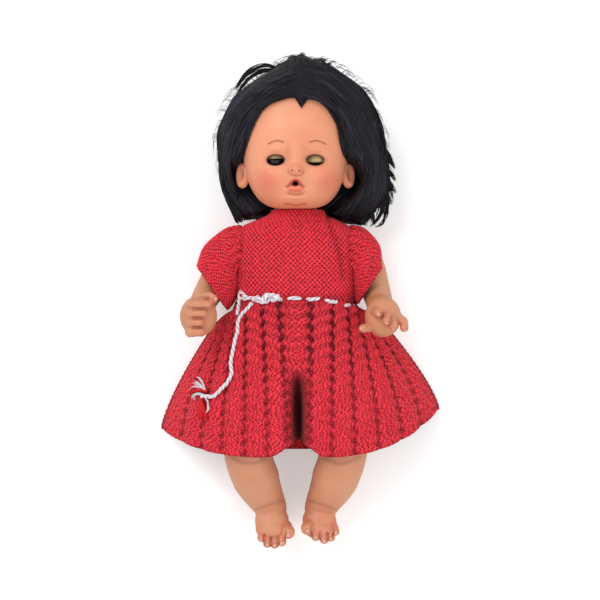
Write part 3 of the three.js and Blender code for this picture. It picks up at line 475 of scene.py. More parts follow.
class Recipe:
    """The nodes of one material, built round a principled shader."""

    def __init__(self, name: str, roughness: float) -> None:
        """Starts a material of that name and roughness."""
        self.material = bpy.data.materials.new(name)
        self.material.use_nodes = True
        self.tree = self.material.node_tree
        self.shader = self.tree.nodes["Principled BSDF"]
        self.shader.inputs["Roughness"].default_value = roughness
        self.places = self.tree.nodes.new("ShaderNodeTexCoord").outputs["Object"]

    def put(self, value: object, socket: Socket) -> None:
        """Links another socket to this one, or sets a number or colour on it."""
        if isinstance(value, Socket):
            self.tree.links.new(value, socket)
        else:
            socket.default_value = value

    def painted(self, name: str, number: bool = False) -> Socket:
        """The value painted on the points under that name."""
        node = self.tree.nodes.new("ShaderNodeAttribute")
        node.attribute_name = name
        return node.outputs["Fac" if number else "Color"]

    def noise(self, scale: float, detail: float = 3.0, stretch: Point = (1, 1, 1)) -> Socket:
        """Cloudy noise from nought to one; scale counts clouds in a metre."""
        mapping = self.tree.nodes.new("ShaderNodeMapping")
        mapping.inputs["Scale"].default_value = stretch
        self.put(self.places, mapping.inputs["Vector"])
        node = self.tree.nodes.new("ShaderNodeTexNoise")
        node.inputs["Scale"].default_value = scale
        node.inputs["Detail"].default_value = detail
        self.put(mapping.outputs["Vector"], node.inputs["Vector"])
        return node.outputs["Fac"]

    def ramp(self, value: Socket, low: tuple, high: tuple) -> Socket:
        """A number mapped from one pair of ends to another: low is (in, out), and so is high."""
        node = self.tree.nodes.new("ShaderNodeMapRange")
        for name, number in zip(("From Min", "To Min", "From Max", "To Max"), (*low, *high)):
            node.inputs[name].default_value = number
        self.put(value, node.inputs["Value"])
        return node.outputs["Result"]

    def mix(self, share: object, first: object, second: object, way: str = "MIX") -> Socket:
        """Two colours mixed by a share, each a socket or a linear colour."""
        node = self.tree.nodes.new("ShaderNodeMix")
        node.data_type = "RGBA"
        node.blend_type = way
        self.put(share, node.inputs["Factor"])
        self.put(first, node.inputs[6])
        self.put(second, node.inputs[7])
        return node.outputs[2]

    def tinted(self, colour: Colour | None) -> object:
        """A plain colour, or the one painted on the points where there is none."""
        return self.painted("tint") if colour is None else linear(colour)

    def by_paint(self, name: str, low: float, high: float, deep: Colour, lit: Colour) -> Socket:
        """Two colours mixed by a number painted on the points, from its low end to its high one."""
        share = self.ramp(self.painted(name, True), (low, 0), (high, 1))
        return self.mix(share, linear(deep), linear(lit))

    def clouded(self, base: object, noise: tuple, low: tuple, high: tuple, colour: Colour,
                way: str = "MULTIPLY") -> Socket:
        """A colour with a second one mixed in by cloudy noise.

        Args:
            base: The colour underneath.
            noise: The noise's scale, detail and stretch.
            low: A value of the noise and the share of the second colour there.
            high: The same at the other end.
            colour: The second colour.
            way: How the two are mixed.

        Returns:
            The mixed colour.
        """
        return self.mix(self.ramp(self.noise(*noise), low, high), base, linear(colour), way)

    def dial(self, settings: dict[str, object]) -> None:
        """Sets some of the shader's inputs, each to a number, a colour or another socket."""
        for name, value in settings.items():
            self.put(value, self.shader.inputs[name])

    def worn(self, noise: tuple, low: float, high: float) -> None:
        """Breaks up the roughness between two values by cloudy noise."""
        self.dial({"Roughness": self.ramp(self.noise(*noise), (0.3, low), (0.7, high))})

    def bump(self, noise: tuple, strength: float, depth: float) -> None:
        """Gives the shader a fine bump of cloudy noise, depth in millimetres."""
        node = self.tree.nodes.new("ShaderNodeBump")
        node.inputs["Strength"].default_value = strength
        node.inputs["Distance"].default_value = depth * METRES
        self.put(self.noise(*noise), node.inputs["Height"])
        self.dial({"Normal": node.outputs["Normal"]})


@dataclass(frozen=True)
class Finish:
    """A finish: a material that is made once and then shared."""

    name: str
    roughness: float

    def material(self) -> bpy.types.Material:
        """The material, made on first use."""
        found = bpy.data.materials.get(self.name)
        if found:
            return found
        recipe = Recipe(self.name, self.roughness)
        self.dress(recipe)
        return recipe.material

    def dress(self, recipe: Recipe) -> None:
        """Fills in the material's nodes."""
        raise NotImplementedError


@dataclass(frozen=True)
class Vinyl(Finish):
    """Soft moulded vinyl: painted or plain colour, cloudy mottling, a fine bump and rubbed gloss."""

    colour: Colour | None = None
    mottle: Colour = (224, 140, 108)

    def dress(self, recipe: Recipe) -> None:
        """Mixes the colour with two sizes of cloud and breaks up the gloss."""
        base = recipe.tinted(self.colour)
        base = recipe.clouded(base, (26, 4), (0.38, 0), (0.72, 0.22), self.mottle)
        base = recipe.clouded(base, (420, 2), (0.62, 0), (0.78, 0.16), (176, 112, 84))
        recipe.dial({"Base Color": base})
        recipe.worn((60, 4), self.roughness - 0.07, self.roughness + 0.08)
        recipe.bump((1500, 2), 0.10, 0.3)


@dataclass(frozen=True)
class Wool(Finish):
    """Knitted wool: painted shade in the hollows between stitches and painted light on their backs, with fuzz
    and plied yarn.
    """

    # lit is the painted light on the stitches' crests, and deep is the painted shade in their hollows
    lit: Colour
    deep: Colour

    def dress(self, recipe: Recipe) -> None:
        """Mixes the painted shade colour of the hollows and the painted light colour of the crests by the
        painted relief, then adds yarn flecks and fuzz.
        """
        base = recipe.by_paint("raise", 0.02, 0.8, self.deep, self.lit)
        base = recipe.clouded(base, (38, 3), (0.35, 0), (0.7, 0.22), (205, 190, 200))
        base = recipe.clouded(base, (520, 3, (1, 0.7, 1)), (0.36, 0.5), (0.56, 0), (150, 110, 125))
        base = recipe.clouded(base, (1300, 2), (0.56, 0), (0.74, 0.4), (248, 112, 122), "MIX")
        recipe.dial({
            "Base Color": base, "Specular IOR Level": 0.18,
            "Sheen Weight": 0.18, "Sheen Roughness": 0.5, "Sheen Tint": linear((255, 150, 150)),
        })
        recipe.bump((2300, 3, (1, 0.6, 1)), 0.5, 0.5)


@dataclass(frozen=True)
class Yarn(Finish):
    """Spun cotton or wool yarn: painted shade in its grooves and painted light on its crests, fine fibre and
    a soft dull face.
    """

    # lit is the painted light on the yarn's crests, and deep is the painted shade in its grooves
    lit: Colour
    deep: Colour

    def dress(self, recipe: Recipe) -> None:
        """Mixes the painted shade of the yarn's grooves and the painted light of its crests, and roughens it
        with fibre.
        """
        base = recipe.by_paint("raise", 0.0, 0.75, self.deep, self.lit)
        base = recipe.clouded(base, (1400, 2), (0.4, 0.3), (0.62, 0), (190, 180, 188))
        recipe.dial({"Base Color": base, "Specular IOR Level": 0.2})
        recipe.bump((3200, 2), 0.4, 0.3)


@dataclass(frozen=True)
class Fibre(Finish):
    """Rooted doll hair: near black, with a painted sheen of cool lighter streaks along some locks, and a
    satin gloss.
    """

    dark: Colour
    # the colour of the lighter streaked locks, a painted sheen
    sheen_streak: Colour

    def dress(self, recipe: Recipe) -> None:
        """Mixes the dark colour and the painted sheen colour by the shade painted on each lock."""
        base = recipe.by_paint("shade", 0.45, 1, self.dark, self.sheen_streak)
        base = recipe.clouded(base, (700, 2), (0.4, 0.35), (0.65, 0), (70, 66, 78))
        recipe.dial({"Base Color": base, "Specular IOR Level": 0.28})
        recipe.worn((90, 2), self.roughness - 0.05, self.roughness + 0.1)
        recipe.bump((2600, 2), 0.25, 0.2)


@dataclass(frozen=True)
class Enamel(Finish):
    """Glossy painted or moulded plastic: painted colour, faint clouding and a clear coat."""

    coat: float = 0.6
    colour: Colour | None = None

    def dress(self, recipe: Recipe) -> None:
        """Takes the painted colour or the plain one and adds fine clouding and a clear coat."""
        base = recipe.clouded(recipe.tinted(self.colour), (240, 3), (0.4, 0), (0.7, 0.25), (190, 180, 170))
        recipe.dial({
            "Base Color": base, "Coat Weight": self.coat, "Coat Roughness": 0.06, "Specular IOR Level": 0.3,
        })
        recipe.worn((900, 2), self.roughness, self.roughness + 0.12)
        recipe.bump((1800, 2), 0.05, 0.1)


@dataclass(frozen=True)
class Metal(Finish):
    """Dull cast or drawn metal, stained in patches."""

    colour: Colour

    def dress(self, recipe: Recipe) -> None:
        """Stains the metal and breaks up its gloss."""
        base = recipe.clouded(linear(self.colour), (300, 4), (0.4, 0), (0.7, 0.5), (120, 112, 104))
        recipe.dial({"Base Color": base, "Metallic": 1.0})
        recipe.worn((800, 3), self.roughness - 0.1, self.roughness + 0.15)
        recipe.bump((1500, 3), 0.2, 0.2)


SKIN = Vinyl("skin_vinyl_soft", 0.46)
BODY = Vinyl("body_vinyl_plain", 0.5, (214, 152, 118))
RED_WOOL = Wool("red_wool_knit", 0.92, (252, 58, 74), (78, 8, 20))
# a darker copy of the red wool: painted shade for the inside of the skirt
RED_WOOL_SHADED = Wool("red_wool_inside_shaded", 0.95, (172, 30, 40), (80, 8, 16))
WHITE_YARN = Yarn("white_cotton_cord", 0.88, (248, 242, 248), (150, 140, 152))
RED_YARN = Yarn("red_tassel_yarn", 0.9, (228, 42, 46), (120, 14, 22))
HAIR = Fibre("black_rooted_hair", 0.5, (19, 18, 25), (50, 48, 64))
EYE = Enamel("eye_enamel", 0.1, 0.3)
LID = Enamel("lid_paint_soft", 0.42, 0.15)
LASH = Fibre("lash_bristle", 0.6, (7, 6, 6), (20, 17, 17))
CASE = Enamel("case_plastic_pale", 0.4, 0.1, (206, 196, 184))
TUBE = Enamel("tube_plastic_clear", 0.35, 0.3, (226, 214, 200))
WEIGHT = Metal("weight_lead_dull", 0.5, (120, 118, 116))


@dataclass
class Studio:
    """A white floor, an even white sky, a large soft lamp, a small fill lamp and a camera above."""

    floor_size: float = 9000.0
    floor_drop: float = 0.6
    sky: float = 0.74
    lamp_at: Point = (-0.95, 1.15, 1.75)
    lamp_size: float = 1.3
    lamp_power: float = 18.0
    lamp_aim: Point = (0, 0.04, 0.03)
    fill_at: Point = (1.0, -0.55, 1.35)
    fill_size: float = 0.45
    fill_power: float = 5.0

    def build(self) -> None:
        """Makes the camera, the lamps, the sky and the floor."""
        self.camera()
        self.lamp("soft_lamp", self.lamp_at, self.lamp_size, self.lamp_power)
        self.lamp("fill_lamp", self.fill_at, self.fill_size, self.fill_power)
        self.sky_light()
        self.floor()
        bpy.context.scene.view_settings.view_transform = "Standard"

    def camera(self) -> None:
        """Stands the camera above the doll, looking down, with the doll's head at the top."""
        data = bpy.data.cameras.new("camera")
        data.sensor_fit = "HORIZONTAL"
        data.angle = 2 * math.atan(PICTURE_WIDTH / 2 / (CAMERA_HEIGHT - PICTURE_PLANE))
        data.clip_end = 20.0
        camera = bpy.data.objects.new("camera", data)
        camera.location = (CAMERA_X * METRES, CAMERA_Y * METRES, CAMERA_HEIGHT * METRES)
        bpy.context.scene.collection.objects.link(camera)
        bpy.context.scene.camera = camera

    def lamp(self, name: str, at: Point, size: float, power: float) -> None:
        """Hangs a square lamp at a place and aims it at the dress.

        Args:
            name: The lamp's name.
            at: Where it hangs, in metres.
            size: Length of its side.
            power: Watts.
        """
        data = bpy.data.lights.new(name, "AREA")
        data.size = size
        data.energy = power
        lamp = bpy.data.objects.new(name, data)
        lamp.location = at
        aim = np.array(self.lamp_aim) - np.array(at)
        lamp.rotation_euler = (math.acos(-aim[2] / np.linalg.norm(aim)), 0, math.atan2(-aim[0], aim[1]))
        bpy.context.scene.collection.objects.link(lamp)

    def sky_light(self) -> None:
        """Lights evenly from all round, and shows as white to the camera and in gloss."""
        world = bpy.data.worlds.new("sky")
        bpy.context.scene.world = world
        world.use_nodes = True
        tree = world.node_tree
        back = tree.nodes["Background"]
        back.inputs["Color"].default_value = (1, 1, 1, 1)
        path = tree.nodes.new("ShaderNodeLightPath")
        bright = path.outputs["Is Camera Ray"]
        for name in ("Is Glossy Ray", "Is Transmission Ray"):
            either = tree.nodes.new("ShaderNodeMath")
            either.operation = "MAXIMUM"
            tree.links.new(bright, either.inputs[0])
            tree.links.new(path.outputs[name], either.inputs[1])
            bright = either.outputs[0]
        strength = tree.nodes.new("ShaderNodeMapRange")
        strength.inputs["To Min"].default_value = self.sky
        strength.inputs["To Max"].default_value = 1.0
        tree.links.new(bright, strength.inputs["Value"])
        tree.links.new(strength.outputs["Result"], back.inputs["Strength"])

    def floor(self) -> None:
        """Lays a white floor that takes the doll's shadow."""
        half = self.floor_size / 2
        edge = np.linspace(-half, half, 9)
        x, y = np.meshgrid(edge, edge)
        mesh = make_mesh("floor", grid(np.stack([x, y, np.full_like(x, -self.floor_drop)], -1)))
        floor = bpy.data.objects.new("floor", mesh)
        bpy.context.scene.collection.objects.link(floor)
        mesh.materials.append(self.floor_paint())

    def floor_paint(self) -> bpy.types.Material:
        """White paint, lifted to full white for the camera so that only the shadow shows on it."""
        recipe = Recipe("white_floor", 0.9)
        cloud = recipe.ramp(recipe.noise(3, 2), (0.3, 0), (0.7, 0.02))
        base = recipe.mix(cloud, (0.9, 0.9, 0.9, 1), (0.8, 0.8, 0.8, 1))
        path = recipe.tree.nodes.new("ShaderNodeLightPath")
        lift = recipe.ramp(path.outputs["Is Camera Ray"], (0, 0), (1, 0.3))
        recipe.dial({
            "Base Color": base, "Specular IOR Level": 0.0,
            "Emission Color": (1, 1, 1, 1), "Emission Strength": lift,
        })
        return recipe.material


def bundle(lines: Array, radii: Array, sides: int = 3) -> Surface:
    """Many thin tapered tubes at once, each a small ring of points carried along its own line.

    Args:
        lines: Tubes by samples by three.
        radii: Tubes by samples.
        sides: Three or four.

    Returns:
        All the tubes as one surface, each closed at both ends.
    """
    count, steps = lines.shape[:2]
    ahead = unit(np.gradient(lines, axis=1))
    side = unit(np.cross(ahead, np.array([0.13, 0.21, 0.97])))
    upper = np.cross(side, ahead)
    turn = full_turn(sides)
    ring = side[:, :, None] * np.cos(turn)[:, None] + upper[:, :, None] * np.sin(turn)[:, None]
    points = lines[:, :, None] + ring * radii[:, :, None, None]
    index = np.arange(count * steps * sides).reshape(count, steps, sides)
    beside = np.roll(index, -1, axis=2)
    quads = np.stack([index[:, :-1], index[:, 1:], beside[:, 1:], beside[:, :-1]], axis=-1)
    quads = quads.reshape(-1, 4)
    ends = np.vstack([index[:, 0], index[:, -1][:, ::-1]])
    tris = ends if sides == 3 else np.zeros((0, 3), int)
    quads = quads if sides == 3 else np.vstack([quads, ends])
    return Surface(points.reshape(-1, 3), quads[:, ::-1], tris[:, ::-1])


def normals_of(points: Array, towards: Array) -> Array:
    """Unit normals of a grid of points, by its rows and columns, on the side of a given direction."""
    normal = unit(np.cross(np.gradient(points, axis=1), np.gradient(points, axis=0)))
    sign = np.sign((normal * towards).sum(axis=-1, keepdims=True))
    return normal * np.where(sign == 0, 1, sign)


def rolled(edge: Array, ahead: Array, normal: Array, radius: float) -> Array:
    """Eight rows that roll an edge under in half a circle: ahead by sin(bend), inward by 1 - cos(bend)."""
    bend = np.linspace(0, PI, 9)[1:, None, None]
    return edge + radius * (ahead * np.sin(bend) - normal * (1 - np.cos(bend)))


def moss(u: Array, v: Array, uneven: float = 0.16) -> Array:
    """Moss stitch: broad bumps in a staggered grid with small holes between, drawn a little unevenly."""
    x = u + uneven * np.sin(2.3 * v + 1.1 * np.sin(0.9 * u))
    y = v + uneven * np.sin(1.9 * u + 2.0 * np.sin(0.7 * v))
    return ease(np.cos(TURN * x) * np.cos(TURN * y), -0.9, 0.35)


def run_lengths(points: Array, axis: int) -> Array:
    """Length run along the rows or columns of a grid of points."""
    step = np.linalg.norm(np.diff(points, axis=axis), axis=-1)
    pad = [(0, 0), (0, 0)]
    pad[axis] = (1, 0)
    return np.pad(np.cumsum(step, axis=axis), pad)


@dataclass
class Skirt:
    """The knitted skirt: a front in two halves that sink between the legs, and a flat back."""

    right_reach: float = 116.0
    left_reach: float = 124.0
    right_rise: float = 18.0
    left_rise: float = 35.0
    length: float = 128.0
    flare: float = 1.6
    side_flare: float = 1.95
    burst: float = 0.34
    burst_run: float = 0.06
    side_fall: float = 1.3
    wrap: float = math.radians(150)
    waist_grow: float = 3.8
    edge: float = 5.8
    crest_x: float = 41.0
    crest: float = 78.6
    side_power: float = 2.2
    right_power: float = 11.0
    left_power: float = 16.0
    plain_power: float = 3.2
    valley_floor: float = 9.0
    notch: float = 9.5
    notch_half: float = 16.0
    fold_x: float = 3.0
    fold_half: float = 25.0
    grooves: dict[Side, Row] = field(default_factory=lambda: {
        Side.RIGHT: (-0.08, 0.09, 0.21, 0.37, 0.53, 0.68, 0.83, 1.0),
        Side.LEFT: (-0.09, 0.08, 0.24, 0.40, 0.56, 0.72, 0.86, 1.0),
    })
    rib: float = 5.6
    rib_sink: float = 2.4
    rib_span: float = 150.0
    bead: float = 9.3
    bead_height: float = 1.2
    dot: float = 2.1
    dot_height: float = 0.55
    hem_roll: float = 1.7
    side_roll: float = 2.0
    side_foot: float = 1.2
    lining: float = 3.0
    lining_floor: float = 3.2
    back_middle: float = 1.5
    back_half_thick: float = 0.95
    back_dot: float = 4.62
    back_columns: int = 120
    back_rows: int = 130
    rows: int = 236
    columns: int = 226

    def hem_height(self, x: Array, valley: Array) -> Array:
        """Height of the hem: a crest over each leg, falling by power laws to the sides and the middle.

        Args:
            x: Place across.
            valley: How far the middle has sunk between the legs, nought to one.

        Returns:
            Heights above the floor.
        """
        away = np.abs(x) - self.crest_x
        reach = np.where(x < 0, self.right_reach, self.left_reach)
        span = np.where(away > 0, reach - self.crest_x, self.crest_x - 1.0)
        power = np.where(away > 0, self.side_power, np.where(x < 0, self.right_power, self.left_power))
        low = np.where(away > 0, self.edge, self.valley_floor)
        share = np.clip(np.abs(away) / span, 0, 1)
        folded = lerp(self.crest, low, share**power)
        flat = np.clip(np.abs(x / reach), 0, 1) ** self.plain_power
        return lerp(lerp(self.crest, self.edge, flat), folded, valley)

    def point(self, across: Array, down: Array) -> Array:
        """A point of the skirt's plain form: the waist's rim mixed with the hem's line, faster at the top.

        Args:
            across: From -1 at the doll's right edge to 1 at its left.
            down: From nought at the waist to one at the hem.

        Returns:
            The points.
        """
        across, down = np.broadcast_arrays(across, down)
        plain = 1 - (1 - down) ** lerp(self.flare, self.side_flare, np.abs(across) ** 2)
        burst = self.burst * (1 - np.exp(-down / self.burst_run))
        side = 1 - (1 - burst) * (1 - down) ** self.side_fall
        spread = lerp(plain, side, np.abs(across) ** 8)
        waist = trunk_rim(WAIST_Y, across * self.wrap, self.waist_grow)
        x = np.where(across < 0, self.right_reach, self.left_reach) * across
        rise = np.where(across < 0, self.right_rise, self.left_rise)
        dip = rise * np.abs(across) ** 3 + self.notch * bell(x, self.notch_half, 3)
        y = SKIRT_TOP + down * (dip - self.length)
        z = self.hem_height(x, ease(down, 0.42, 0.8))
        x = x + self.fold_x * bell(x, self.fold_half)
        return np.stack([lerp(waist[..., 0], x, spread), y, lerp(waist[..., 2], z, spread)], axis=-1)

    def height_at(self, x: Array, y: Array) -> Array:
        """Height of the plain form at places of the doll's right half, from the nearest of its points."""
        share = shares(160)
        form = self.point(-share[None], share[:, None]).reshape(-1, 3)
        flat = np.stack([x.ravel(), y.ravel()], axis=1)
        near = ((flat[:, None] - form[None, :, :2]) ** 2).sum(axis=2).argmin(axis=1)
        return form[near, 2].reshape(x.shape)

    def relief(self, side: Side, across: Array, run: Array, down: Array) -> tuple[Array, Array]:
        """Height of the knit over the plain form: ribs, scalloped blocks down each rib, and moss stitches.

        Args:
            side: Which half.
            across: From nought in the valley to one at the side.
            run: Millimetres run down from the waist.
            down: From nought to one.

        Returns:
            The heights, and the painted light and shade of each point: nought, painted shade, in a groove,
            darker in the stitch holes, between the blocks, in the valley between the legs and towards the
            waist, and lighter on crests and ridges.
        """
        marks = np.asarray(self.grooves[side])
        place_in = np.interp(across, marks, np.arange(len(marks)))
        wave = 0.07 * np.sin(TURN * run / self.bead + 1.7 * np.floor(place_in))
        wave = wave * ease(across, 0, 0.05) * ease(1 - across, 0, 0.05)
        place_in = np.clip(place_in + wave, 0, None)
        number = np.floor(place_in)
        s = place_in - number
        body = np.clip(np.sin(PI * s), 0, 1) ** 0.5
        block = 0.5 + 0.5 * np.cos(TURN * (run / self.bead + 0.55 * (s - 0.5) + 0.37 * number))
        block = ease(block, 0.05, 0.8)
        width = np.interp(number, np.arange(len(marks) - 1), np.diff(marks)) * self.rib_span
        stitch = moss(s * np.round(width / self.dot / 2), run / self.dot / 2)
        ridge = bell(s - 0.13, 0.05)
        open_up = ease(down, 0, 0.07) * lerp(1.0, 0.6, ease(down, 0.1, 0.75))
        open_up = open_up * lerp(1.0, 0.6, ease(across, 0.75, 1.0))
        height = (body * self.rib - self.rib_sink) * open_up
        fade = lerp(1.0, 0.3, ease(down, 0.2, 0.6))
        height = height + (block - 0.6) * self.bead_height * fade * body * ease(down, 0, 0.05)
        height = height + stitch * self.dot_height * (1 - ridge) + 0.6 * ridge * open_up
        plain = ease(across, 0.02, 0.09)
        height = height * lerp(1.0, plain, ease(down, 0.4, 0.6))
        groove = lerp(ease(body, 0.25, 0.85), 1.0, 0.4 * ease(down, 0.15, 0.8))
        # painted shade in the grooves and between the blocks, painted light on the ridges
        lit_share = 0.12 + 0.49 * groove + 0.2 * lerp(0.7, block, fade) * groove + 0.2 * ridge
        # painted shade in the holes between the moss stitches
        lit_share = lit_share * lerp(0.2, 1.05, stitch)
        # painted shade in the valley between the legs
        lit_share = lit_share * lerp(1.0, lerp(0.3, 1.0, plain), ease(down, 0.42, 0.6))
        # painted shade, a little darker towards the waist
        return height, lit_share * lerp(0.9, 1.05, ease(down, 0, 0.3))

    def half(self, side: Side) -> Surface:
        """One half of the front: its knit raised, its hem rolled under and its side turned down, with painted
        shade on the rolled hem, under it and on the turned side.
        """
        across = shares(self.columns)[None]
        down = shares(self.rows)[:, None]
        base = self.point(side.value * across, down)
        normal = normals_of(base, FRONT)
        height, lit_share = self.relief(side, across + 0 * down, run_lengths(base, 0), down + 0 * across)
        top = base + normal * height[..., None]
        ahead = unit(base[-1] - base[-2])[None]
        roll = rolled(top[-1], ahead, normal[-1], self.hem_roll)
        back = roll[-1] - ahead * np.array([2.0, 5.0])[:, None, None]
        whole = np.concatenate([top, roll, back])
        # painted shade on the rolled hem, and darker still on the rows turned under it
        lit_share = np.concatenate([lit_share, np.repeat(lit_share[-1:] * 0.8, 8, 0), np.full((2, self.columns), 0.1)])
        out = np.array([side.value * self.side_roll, 0, 0])
        drop = FRONT * (whole[:, -1:, 2:] - self.side_foot)
        lean = np.linspace(0, PI / 2, 6)[1:]
        turned = [whole[:, -1:] + out * math.sin(v) - drop * (1 - math.cos(v)) for v in lean]
        whole = np.concatenate([whole] + turned, axis=1)
        # painted shade on the turned-down side
        lit_share = np.concatenate([lit_share, np.repeat(lit_share[:, -1:] * 0.9, 5, 1)], axis=1)
        return facing(grid(whole).raised(lit_share), 1)

    def under(self, side: Side) -> Surface:
        """The smooth inside of one half, set below the stitches, in the darker copy of the wool that paints
        the shade inside the skirt, with painted shade in a moss pattern over it.
        """
        across = np.linspace(0, 0.995, 70)[None]
        down = np.linspace(0.01, 0.992, 64)[:, None]
        base = self.point(side.value * across, down)
        inside = base - normals_of(base, FRONT) * self.lining
        inside[..., 2] = np.maximum(inside[..., 2], self.lining_floor)
        wave = moss(across * 40 + 0 * down, down * 32 + 0 * across)
        return facing(grid(inside).raised(0.3 + 0.5 * wave), -1)

    def back_half(self, side: Side) -> Surface:
        """One half of the back, lying on the floor: moss stitch above and below, rounded at its edges."""
        side_on = np.linspace(0, PI, 7)[1:-1]
        flat = shares(self.back_columns)
        across = np.concatenate([flat, np.ones(len(side_on)), flat[::-1]])
        layer = np.concatenate([flat**0, np.cos(side_on), -(flat**0)])
        bulge = np.concatenate([flat * 0, np.sin(side_on), flat * 0])
        down = shares(self.back_rows)[:, None]
        rim = self.point(np.array([side.value * 1.0]), down)
        rise = self.left_rise if side is Side.LEFT else self.right_rise
        hem = SKIRT_TOP - self.length - 1.0 + rise * across[None] ** 3
        x = side.value * (np.abs(rim[..., 0]) * across + bulge * 1.2)
        y = lerp(SKIRT_TOP, hem, down)
        stitch = moss(x / self.back_dot, y / self.back_dot)
        z = self.back_middle + layer * (self.back_half_thick + 0.5 * stitch * (np.abs(layer) > 0.99))
        rows = np.stack([x, y + 0 * x, z + 0 * y], axis=-1)
        # painted shade in the holes between the moss stitches
        return closed(rows).raised(0.25 + 0.6 * stitch, 0.4)

    def build(self) -> None:
        for side in Side:
            word = side.word
            leg = f"leg_{word}"
            cloth = ("torso", "red_knit")
            front = place(f"skirt_half_{word}", self.half(side), RED_WOOL, *cloth, ("skirt_front",), leg)
            lining = self.under(side)
            inside = place(f"skirt_inside_{word}", lining, RED_WOOL_SHADED, *cloth, ("skirt_front",), leg)
            back = place(f"skirt_back_{word}", self.back_half(side), RED_WOOL, *cloth, ("skirt_back",))


@dataclass
class Bodice:
    """The knitted top: a moss-stitch tube that closes to a rolled collar, with an armhole on each side."""

    heights: Row = (40.6, 62, 84, 96, 102, 106, 110, 113.5, 116.5)
    widths: Row = (46.4, 48.4, 49, 48, 45.6, 40, 31, 23, 19.6)
    depths: Row = (30.6, 30, 29, 27, 25.2, 23.6, 22, 20.4, 19.6)
    grow: float = 3.2
    stitch: float = 4.0
    stitch_height: float = 0.8
    armhole: float = 15.0
    armhole_x: float = 34.0
    seam: float = 1.5
    seam_x: float = 46.6
    seam_half: Pair = (19.6, 19.0)
    seam_beads: int = 30
    collar_x: float = 2.0
    collar_roll: float = 1.7
    collar_from: float = 103.0
    collar_to: float = 114.0
    tuck: float = 2.4
    fold: Marks = ((27, 114), (31, 100), (37, 82), (40, 62))
    fold_depth: float = 1.5
    rows: int = 158
    columns: int = 480

    def form(self) -> Array:
        """The plain tube: a superellipse that turns into a round collar, with its top edge rolled inward."""
        y = np.linspace(self.heights[0], self.heights[-1], self.rows)
        roll = np.linspace(0, PI, 9)[1:]
        over = np.concatenate([self.collar_roll * np.sin(roll), [-3, -8]])
        lift = np.concatenate([y, y[-1] + over])[:, None]
        inward = self.collar_roll * np.concatenate([0 * y, 1 - np.cos(roll), [2, 2]])[:, None]
        tuck = self.tuck * ease(-lift, -self.heights[0] - 1.2, -self.heights[0])
        round_off = ease(lift, self.collar_from, self.collar_to)
        wide = np.interp(lift, self.heights, self.widths) + self.grow - inward - tuck
        deep = np.interp(lift, self.heights, self.depths) + self.grow - inward - tuck
        turn = full_turn(self.columns)[None]
        pull = 2 / lerp(TRUNK_POWER, 2.0, round_off)
        x = wide * power_of(np.sin(turn), pull) + self.collar_x * round_off
        z = lerp(TRUNK_Z, NECK_Z, round_off) + deep * power_of(np.cos(turn), pull)
        return np.stack(np.broadcast_arrays(x, lift, z), axis=-1)

    def surface(self) -> Surface:
        """The tube with its stitches raised and painted shade on it, cut open at the armholes and finished
        with a seam round each.
        """
        base = self.form()
        middle = np.array([0, 0, TRUNK_Z])
        normal = normals_of(base, (base - middle) * np.array([1, 0, 1]))
        around = run_lengths(np.concatenate([base, base[:, :1]], axis=1), 1)
        count = np.round(around[10, -1] / self.stitch)
        u = around[:, :-1] / around[:, -1:] * count
        up = run_lengths(base, 0)
        stitch = moss(u, up / self.stitch, 0.06)
        front = base[..., 2] > TRUNK_Z
        crease = line_near(base[..., 0], base[..., 1], self.fold, 2.6) * front
        # painted shade: darker in the stitch holes, along the fold and by the armholes under the sleeves, and
        # darker towards the lower edge
        shade = (0.04 + 0.84 * stitch) * (1 - 0.35 * crease)
        shade = shade * lerp(1.0, 0.6, ease(np.abs(base[..., 0]), 41, 50) * front)
        shade = shade * lerp(0.6, 1, ease(base[..., 1], self.heights[0] + 3, self.heights[0] + 9))
        lift = stitch * self.stitch_height - self.fold_depth * crease
        surface = grid(base + normal * lift[..., None], True).raised(shade).outward()
        centre = surface.points[surface.quads].mean(axis=1)
        away = np.hypot(centre[:, 1] - SHOULDER[1] + 3, centre[:, 2] - SHOULDER[2])
        surface.quads = surface.quads[(away > self.armhole) | (np.abs(centre[:, 0]) < self.armhole_x)]
        return joined([surface] + [self.armhole_seam(side) for side in Side])

    def armhole_seam(self, side: Side) -> Surface:
        """A knitted roll round the armhole, beaded by its stitches, with painted shade between the beads and
        over the whole roll.
        """
        turn = np.linspace(0, TURN, 240)
        ring = np.stack([
            np.full_like(turn, side.value * self.seam_x),
            SHOULDER[1] - 4 + self.seam_half[0] * np.cos(turn),
            SHOULDER[2] + self.seam_half[1] * np.sin(turn),
        ], axis=1)
        bead = 0.5 + 0.5 * np.cos(turn * self.seam_beads)
        roll = tube(ring, self.seam + 0.35 * bead, 12, (1, 0, 0), False)
        # painted shade: dark between the beads and darker than the bodice all over the roll
        return roll.raised(np.repeat(0.12 + 0.4 * bead, 12), 0.2)

    def build(self) -> None:
        """Makes the top and places it."""
        piece = place("bodice_knit", self.surface(), RED_WOOL, "torso", "red_knit", ("bodice",))


